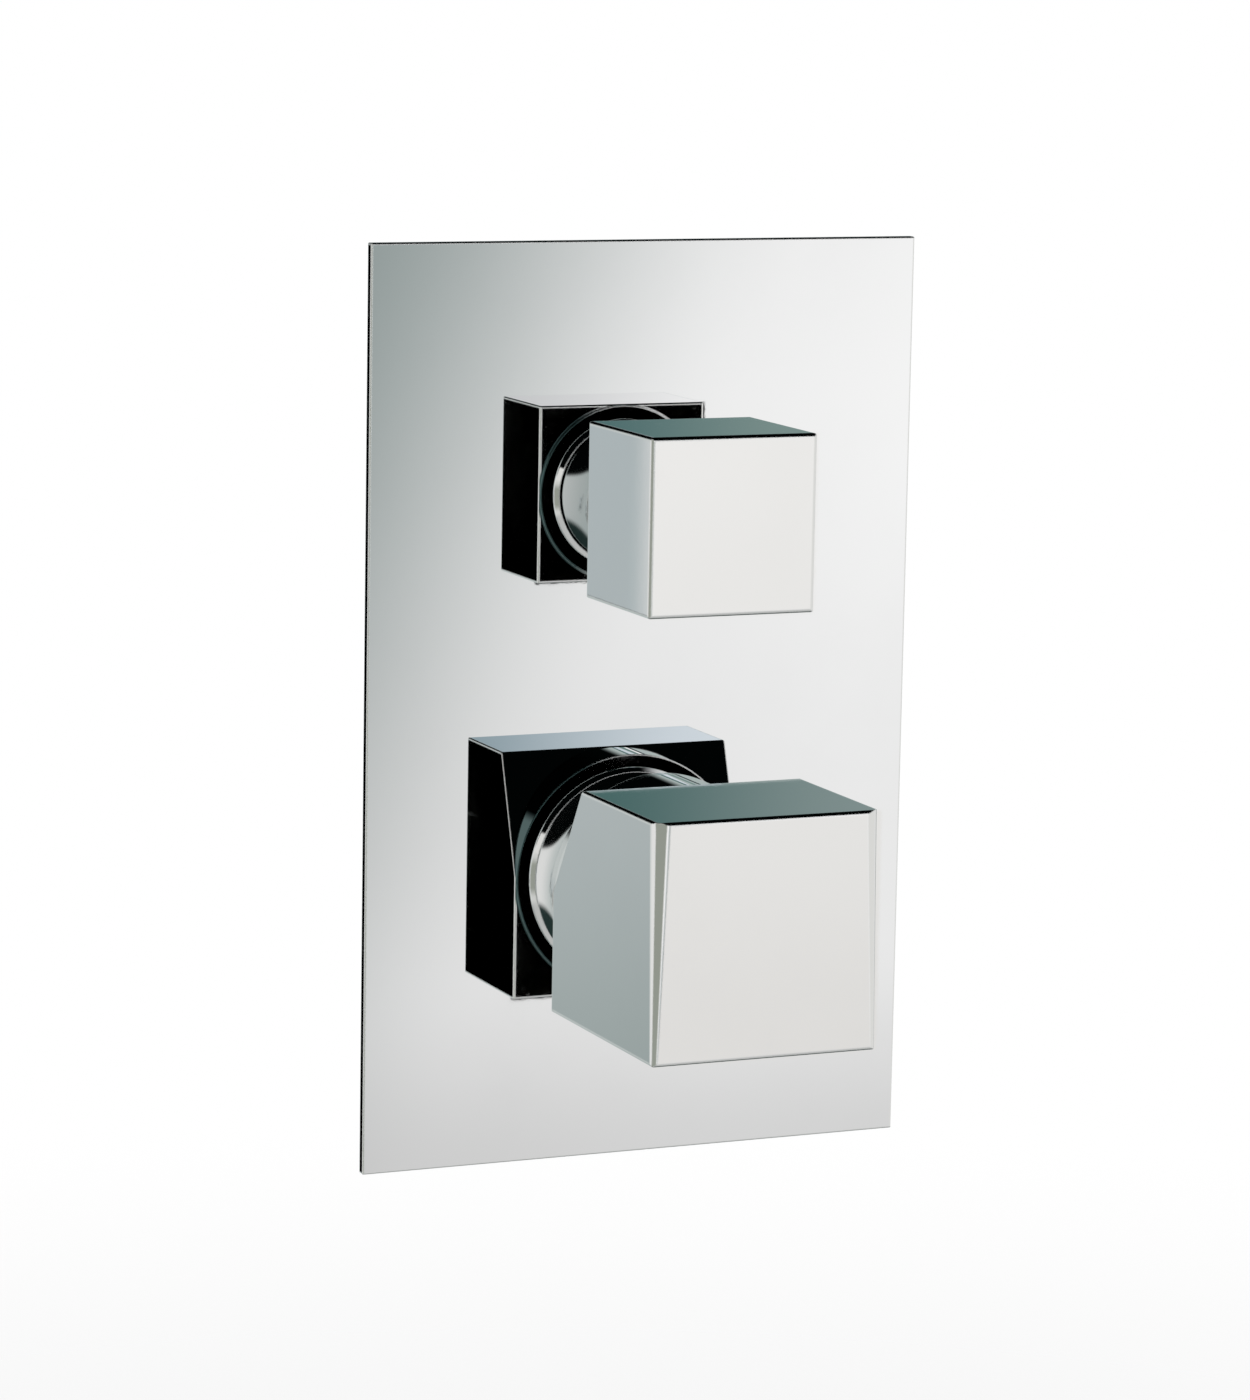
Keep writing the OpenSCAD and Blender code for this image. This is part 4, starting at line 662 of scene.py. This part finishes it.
class MIXER_OT_pipe_threads(bpy.types.Operator):
    """Threads cut in the two inlets and the outlet"""
    bl_idname = "mixer.pipe_threads"
    bl_label = "Pipe threads"

    def execute(self, context):
        sizes = context.scene.mixer_sizes
        brass = tuple(context.scene.mixer_finishes.turned_brass)
        length = THREAD_LENGTH - 3 * sizes.thread_depth
        ends = {side + "_inlet_thread": (x, y, -PIPE_END + 2 * sizes.thread_depth)
                for side, (x, y) in INLETS.items()}
        ends["outlet_thread"] = (OUTLET[0], OUTLET[1], PIPE_END - THREAD_LENGTH + sizes.thread_depth)
        for name, place in ends.items():
            material = turned_material(name + "_brass", brass, (place[0], place[1], 0.0))
            piece = plain_mesh(name, coil_tree(), {
                "Radius": THREAD_BORE, "Wire Radius": sizes.thread_depth,
                "Turns": length / sizes.thread_pitch, "Length": length,
                "Turn Points": sizes.turn_points, "Wire Sides": 4,
                "Rotation": (0.0, 0.0, 0.0), "Place": place, "Material": material})
            for face in piece.data.polygons:
                face.use_smooth = False
            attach(piece, "valve")
        return {"FINISHED"}


# Studio

def make_panel_group():
    """One panel of the studio as polished metal sees it, with a colour that changes across or up it."""
    graph, given, result = make_group(
        "studio_panel",
        [("Across", "Float", 0.0), ("Up", "Float", 0.0), ("Wall", "Float", 1.0),
         ("Left", "Float", -1.0), ("Right", "Float", 1.0), ("Bottom", "Float", -1.0), ("Top", "Float", 1.0),
         ("Softness", "Float", 0.01), ("Upward", "Float", 0.0),
         ("Start", "Color", (0.0, 0.0, 0.0, 1.0)), ("End", "Color", (1.0, 1.0, 1.0, 1.0)),
         ("Behind", "Color", (1.0, 1.0, 1.0, 1.0))],
        [("Seen", "Color")])
    half = graph.math("MULTIPLY", given["Softness"], 0.5)

    def side(value, edge, low_side, high_side):
        low = graph.math("SUBTRACT", edge, half)
        high = graph.math("ADD", edge, half)
        return graph.ramp(value, low, high, low_side, high_side)

    across = graph.math("MULTIPLY", side(given["Across"], given["Left"], 0.0, 1.0),
                        side(given["Across"], given["Right"], 1.0, 0.0))
    upright = graph.math("MULTIPLY", side(given["Up"], given["Bottom"], 0.0, 1.0),
                         side(given["Up"], given["Top"], 1.0, 0.0))
    mask = graph.math("MULTIPLY", graph.math("MULTIPLY", across, upright), given["Wall"])
    part_across = graph.ramp(given["Across"], given["Left"], given["Right"])
    part_up = graph.ramp(given["Up"], given["Bottom"], given["Top"])
    part = graph.math("ADD", graph.math("MULTIPLY", part_up, given["Upward"]),
                      graph.math("MULTIPLY", part_across, graph.math("SUBTRACT", 1.0, given["Upward"])))
    paint = graph.mix(part, given["Start"], given["End"])
    graph.feed(result.inputs["Seen"], graph.mix(mask, given["Behind"], paint))
    return graph.tree


def sight(eye, x, y, z):
    """Where the camera sees a point, as tangents across and up from straight ahead into the wall."""
    depth = y - eye.y
    return (x - eye.x) / depth, (z - eye.z) / depth


def front_edges(eye, node, top=None):
    """Left, right, bottom and top of a piece's front face in the camera's sight."""
    low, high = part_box(node)
    left, bottom = sight(eye, low.x, low.y, low.z)
    right, upper = sight(eye, high.x, low.y, high.z if top is None else top)
    return left, right, bottom, upper


def studio_panels(eye):
    """Panels of the studio, in tangents on a far wall: wall, left, right, bottom, top, softness, colours.

    Polished faces that look out of the wall mirror the front wall below the horizon, left sides mirror the
    back wall's left, and tops mirror it above the horizon. So each panel sits where one face mirrors it to
    the photograph's camera. The panels stay in the world, so from elsewhere the faces mirror other parts.
    """
    flow = front_edges(eye, "flow_knob")
    warm = front_edges(eye, "temperature_knob")
    flow_boss = front_edges(eye, "flow_boss")
    boss = front_edges(eye, "temperature_boss", top=TEMPERATURE_Z + TEMPERATURE_DISC_R)
    boss_right = sight(eye, SPINDLE_X + 0.7 * TEMPERATURE_DISC_R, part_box("temperature_boss")[0].y, 0.0)[0]
    flow_left = sight(eye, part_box("flow_boss")[0].x, PLATE_FRONT_Y, 0.0)[0]
    boss_left = sight(eye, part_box("temperature_boss")[0].x, PLATE_FRONT_Y, 0.0)[0]
    plate_left = sight(eye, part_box("wall_plate")[0].x, PLATE_FRONT_Y, 0.0)[0]
    knob_left = sight(eye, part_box("temperature_knob")[0].x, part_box("temperature_knob")[1].y, 0.0)[0]
    parting = (flow_boss[0] + knob_left) / 2
    flow_top = -(flow[3] + sight(eye, 0.0, PLATE_FRONT_Y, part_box("flow_boss")[1].z)[1]) / 2
    low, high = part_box("temperature_boss")
    boss_top = -(warm[3] + sight(eye, 0.0, low.y, high.z)[1]) / 2
    margin = 0.0008
    crisp, sharp, soft = 0.0006, 0.001, 0.002
    far = 60.0
    black = (0.0, 0.0, 0.0)
    pale = (0.74, 0.74, 0.72)
    return [
        # A window at the left of the front wall
        ("front", -far, -0.25, 0.35, 0.95, 0.10, pale, pale, 0.0),
        # Boss fronts: beside the knobs, and the strips above them
        ("front", flow_boss[0] - margin, flow[0] - margin, flow_boss[2], flow_boss[3], crisp,
         black, black, 0.0),
        ("front", flow_boss[0] - margin, flow_boss[1], flow[3] + margin, flow_boss[3], crisp,
         black, black, 0.0),
        ("front", boss[0] - margin, warm[0] - margin, boss[2], boss[3], crisp, black, black, 0.0),
        ("front", boss[0] - margin, boss_right, warm[3] + margin, boss[3], crisp, black, black, 0.0),
        # Knob fronts
        ("front", *flow, 0.0012, (0.875, 0.866, 0.85), (0.905, 0.896, 0.88), 1.0),
        ("front", *warm, 0.0012, (0.79, 0.778, 0.76), (0.842, 0.833, 0.817), 1.0),
        # Left sides: black bosses, blue-grey knobs that lighten towards their fronts
        ("back", -parting, -flow_left + 0.001, -0.155, -0.107, sharp, black, black, 0.0),
        ("back", -parting, -boss_left + 0.001, -0.247, -0.181, sharp, black, black, 0.0),
        ("back", -0.45, -parting, -0.30, -0.18, soft, (0.30, 0.355, 0.345), (0.45, 0.495, 0.50), 1.0),
        ("back", -0.45, -parting, -0.18, -0.09, soft, (0.43, 0.48, 0.49), (0.44, 0.495, 0.51), 1.0),
        ("back", -0.002 - flow[0], 0.005 - flow[0], -0.18, -0.09, sharp,
         (0.66, 0.68, 0.68), (0.44, 0.495, 0.505), 0.0),
        # Tops: a light and a blue-grey boss, teal knobs
        ("back", 0.39, 0.47, 0.09, flow_top, sharp, (0.55, 0.56, 0.57), (0.93, 0.93, 0.93), 0.0),
        ("back", flow[0] - 0.02, flow[1], flow_top, 0.15, sharp,
         (0.075, 0.155, 0.155), (0.20, 0.28, 0.265), 0.0),
        ("back", 0.385, 0.455, 0.16, boss_top, sharp, (0.25, 0.33, 0.37), (0.64, 0.70, 0.75), 0.0),
        ("back", warm[0] - 0.02, warm[1], boss_top, 0.22, sharp,
         (0.065, 0.14, 0.135), (0.22, 0.285, 0.28), 0.0),
        # The plate's left side and its top
        ("back", -plate_left - 0.003, -plate_left + 0.004, -0.31, -0.05, sharp, black, black, 0.0),
        ("back", 0.34, 0.53, 0.06, 0.09, 2 * soft, (0.03, 0.05, 0.05), (0.03, 0.05, 0.05), 0.0),
    ]


def front_wall(graph, across, up, level):
    """The front wall's soft light: a greenish shade at the upper left, light grey at the bottom."""
    shade_left, shade_top, slant = 0.3735, -0.08, 0.42
    lean = graph.math("MULTIPLY", graph.math("SUBTRACT", shade_top, up), slant)
    diagonal = graph.math("ADD", graph.math("SUBTRACT", across, shade_left), lean)
    lit = graph.mix(graph.ramp(diagonal, -0.015, 0.10), (0.305, 0.353, 0.348, 1.0), (0.93, 0.93, 0.93, 1.0))
    lit = graph.mix(graph.ramp(diagonal, 0.085, 0.17), lit, (1.0, 1.0, 1.0, 1.0))
    depth = graph.math("MULTIPLY", graph.ramp(up, -0.22, -0.10, 0.88, 1.0),
                       graph.ramp(up, -0.285, -0.235, 0.80, 1.0))
    low = graph.mix(1.0, lit, graph.add("ShaderNodeCombineColor", {0: depth, 1: depth, 2: depth}).outputs[0],
                    blend="MULTIPLY")
    olive, pale = (0.31, 0.33, 0.29, 1.0), (0.74, 0.74, 0.72, 1.0)
    off_horizon = graph.math("MAXIMUM", graph.ramp(level, -0.02, 0.12),
                             graph.ramp(level, -0.42, -0.28, 1.0, 0.0))
    left = graph.mix(off_horizon, olive, (0.64, 0.65, 0.63, 1.0))
    sides = graph.mix(graph.ramp(across, -0.15, 0.0), left, (1.0, 1.0, 1.0, 1.0))
    sides = graph.mix(graph.ramp(across, 0.55, 0.68), sides, pale)
    on_right = graph.math("MULTIPLY", graph.ramp(across, 0.0, 0.36), graph.ramp(across, 0.55, 0.62, 1.0, 0.0))
    near = graph.math("MULTIPLY", on_right, graph.ramp(up, 0.0, 0.06, 1.0, 0.0))
    return graph.mix(near, sides, low)


def back_wall(graph, across):
    """The back wall's soft light: white at the left, then greenish, with a dark strip before the right."""
    light = graph.mix(graph.ramp(across, -1.6, 0.45), (0.80, 0.80, 0.79, 1.0), (0.40, 0.46, 0.45, 1.0))
    light = graph.mix(graph.ramp(across, 0.57, 0.67), light, (0.10, 0.13, 0.125, 1.0))
    return graph.mix(graph.ramp(across, 1.0, 1.4), light, (0.75, 0.75, 0.74, 1.0))


def make_world(studio):
    """White to the camera, and to polished metal white with the studio's darker panels."""
    world = bpy.data.worlds.new("studio")
    world.use_nodes = True
    world.node_tree.nodes.clear()
    graph = Graph(world.node_tree)
    direction = graph.add("ShaderNodeTexCoord").outputs["Generated"]
    split = graph.add("ShaderNodeSeparateXYZ", {"Vector": direction}).outputs
    depth = graph.math("MAXIMUM", graph.math("ABSOLUTE", split["Y"]), 0.0001)
    across = graph.math("DIVIDE", split["X"], depth)
    up = graph.math("DIVIDE", split["Z"], depth)
    front = graph.math("LESS_THAN", split["Y"], 0.0)
    walls = {"front": front, "back": graph.math("SUBTRACT", 1.0, front)}
    seen = graph.mix(front, back_wall(graph, across), front_wall(graph, across, up, split["Z"]))
    aside = graph.ramp(split["X"], 0.48, 0.70)
    ceiling = graph.mix(aside, (0.0005, 0.001, 0.001, 1.0), (0.62, 0.64, 0.64, 1.0))
    lit_ground = graph.math("MAXIMUM", aside, front)
    ground = graph.mix(lit_ground, (0.02, 0.035, 0.033, 1.0), (0.50, 0.51, 0.50, 1.0))
    seen = graph.mix(graph.ramp(split["Z"], 0.20, 0.27), seen, ceiling)
    seen = graph.mix(graph.ramp(split["Z"], -0.52, -0.42), ground, seen)
    studio_panel = make_panel_group()
    eye = camera_frame(studio)[3]
    for wall, left, right, bottom, top, softness, start, end, upward in studio_panels(eye):
        seen = graph.group(studio_panel, across=across, up=up, wall=walls[wall], left=left, right=right,
                           bottom=bottom, top=top, softness=softness, upward=upward, start=(*start, 1.0),
                           end=(*end, 1.0), behind=seen)["Seen"]
    path = graph.add("ShaderNodeLightPath").outputs
    ambient = (studio.ambient, studio.ambient, studio.ambient, 1.0)
    glossy = graph.mix(path["Is Glossy Ray"], ambient, seen)
    shown = graph.mix(path["Is Camera Ray"], glossy, (1.0, 1.0, 1.0, 1.0))
    backdrop = graph.add("ShaderNodeBackground", {"Color": shown, "Strength": 1.0})
    graph.feed(graph.add("ShaderNodeOutputWorld").inputs["Surface"], backdrop.outputs[0])
    return world


def floor_material(studio):
    """White floor that fades out at its rim, stays white to the camera and still takes the mixer's shadow."""
    material, graph, surface, place = start_material("studio_floor")
    surface.inputs["Base Color"].default_value = (0.9, 0.9, 0.9, 1.0)
    surface.inputs["Roughness"].default_value = 0.8
    path = graph.add("ShaderNodeLightPath").outputs
    white = graph.add("ShaderNodeEmission", {"Color": (1.0, 1.0, 1.0, 1.0), "Strength": 1.0})
    seen = graph.math("MULTIPLY", path["Is Camera Ray"], 0.8)
    both = graph.add("ShaderNodeMixShader", {0: seen, 1: surface.outputs["BSDF"], 2: white.outputs[0]})
    centre = graph.vector("MULTIPLY", place, (1.0, 1.0, 0.0))
    rim = graph.ramp(graph.vector("LENGTH", centre), studio.floor_radius * 0.35, studio.floor_radius)
    clear = graph.add("ShaderNodeBsdfTransparent")
    faded = graph.add("ShaderNodeMixShader", {0: rim, 1: both.outputs[0], 2: clear.outputs[0]})
    output = next(node for node in graph.tree.nodes if node.type == "OUTPUT_MATERIAL")
    graph.feed(output.inputs["Surface"], faded.outputs[0])
    return material


def make_floor(studio):
    steps, radius = 64, studio.floor_radius
    turns = [2 * math.pi * i / steps for i in range(steps)]
    points = [(radius * math.cos(turn), radius * math.sin(turn), -studio.floor_drop) for turn in turns]
    mesh = bpy.data.meshes.new("studio_floor")
    mesh.from_pydata(points, [], [list(range(steps))])
    mesh.materials.append(floor_material(studio))
    floor = bpy.data.objects.new("studio_floor", mesh)
    bpy.context.scene.collection.objects.link(floor)


def make_lamp(name, place, size, power):
    data = bpy.data.lights.new(name, "AREA")
    data.shape = "SQUARE"
    data.size = size
    data.energy = power
    lamp = bpy.data.objects.new(name, data)
    lamp.location = place
    lamp.rotation_mode = "QUATERNION"
    lamp.rotation_quaternion = (-Vector(place)).to_track_quat("-Z", "Y")
    bpy.context.scene.collection.objects.link(lamp)


def camera_frame(studio):
    """The photograph's view: the camera's right, up and back directions, and its place."""
    yaw, pitch, roll = studio.yaw, studio.pitch, studio.roll
    back = Vector((math.sin(yaw) * math.cos(pitch), -math.cos(yaw) * math.cos(pitch), math.sin(pitch)))
    level = Vector((math.cos(yaw), math.sin(yaw), 0.0))
    upright = back.cross(level)
    right = math.cos(roll) * level + math.sin(roll) * upright
    up = math.cos(roll) * upright - math.sin(roll) * level
    aim = studio.aim_right * right + studio.aim_up * up + Vector((0.0, PLATE_FRONT_Y, 0.0))
    return right, up, back, aim + studio.distance * back


def make_camera(studio):
    right, up, back, place = camera_frame(studio)
    data = bpy.data.cameras.new("photo_camera")
    data.sensor_width = 36.0
    data.sensor_fit = "AUTO"
    data.lens = studio.lens
    data.clip_start = 0.05
    data.clip_end = 20.0
    camera = bpy.data.objects.new("photo_camera", data)
    camera.matrix_world = Matrix.Translation(place) @ Matrix((right, up, back)).transposed().to_4x4()
    bpy.context.scene.collection.objects.link(camera)
    bpy.context.scene.camera = camera


class MIXER_OT_stage(bpy.types.Operator):
    """Floor, lamps, white surroundings and the photograph's camera"""
    bl_idname = "mixer.stage"
    bl_label = "Studio"

    def execute(self, context):
        studio = context.scene.mixer_studio
        context.scene.world = make_world(studio)
        make_floor(studio)
        make_lamp("key_lamp", (-1.3, -1.6, 2.0), 1.2, studio.key_power)
        make_lamp("fill_lamp", (1.9, -1.1, 1.3), 1.2, studio.fill_power)
        make_lamp("back_lamp", (0.6, 2.2, 1.8), 1.4, studio.back_power)
        make_camera(studio)
        # Polished faces mirror the studio's walls alone: the photograph's plate mirrors neither handle
        for piece in context.scene.objects:
            piece.visible_glossy = False
        context.scene.view_settings.view_transform = "Standard"
        return {"FINISHED"}


class MIXER_PT_panel(bpy.types.Panel):
    """Lists the mixer's operators and values"""
    bl_idname = "MIXER_PT_panel"
    bl_label = "Shower mixer"
    bl_space_type = "VIEW_3D"
    bl_region_type = "UI"
    bl_category = "Mixer"

    def draw(self, context):
        for operator in OPERATORS:
            self.layout.operator(operator.bl_idname)
        for group in GROUPS:
            values = getattr(context.scene, group)
            box = self.layout.box()
            box.label(text=group.replace("_", " ").capitalize())
            for name in values.__annotations__:
                box.prop(values, name)


OPERATORS = (
    MIXER_OT_chrome_trim, MIXER_OT_valve_body, MIXER_OT_turned_parts, MIXER_OT_steel_parts,
    MIXER_OT_copper_element, MIXER_OT_seals, MIXER_OT_ceramic_discs, MIXER_OT_plastic_parts,
    MIXER_OT_springs, MIXER_OT_pipe_threads, MIXER_OT_stage,
)
GROUPS = {"mixer_finishes": MixerFinishes, "mixer_sizes": MixerSizes, "mixer_studio": MixerStudio}


def register():
    for group in GROUPS.values():
        bpy.utils.register_class(group)
    for name, group in GROUPS.items():
        setattr(bpy.types.Scene, name, PointerProperty(type=group))
    for operator in OPERATORS:
        bpy.utils.register_class(operator)
    bpy.utils.register_class(MIXER_PT_panel)


def unregister():
    bpy.utils.unregister_class(MIXER_PT_panel)
    for operator in reversed(OPERATORS):
        bpy.utils.unregister_class(operator)
    for name, group in reversed(GROUPS.items()):
        delattr(bpy.types.Scene, name)
        bpy.utils.unregister_class(group)


def main():
    register()
    for operator in OPERATORS:
        area, name = operator.bl_idname.split(".")
        if getattr(getattr(bpy.ops, area), name)() != {"FINISHED"}:
            raise RuntimeError(f"{operator.bl_label} didn't finish")


if __name__ == "__main__":
    main()
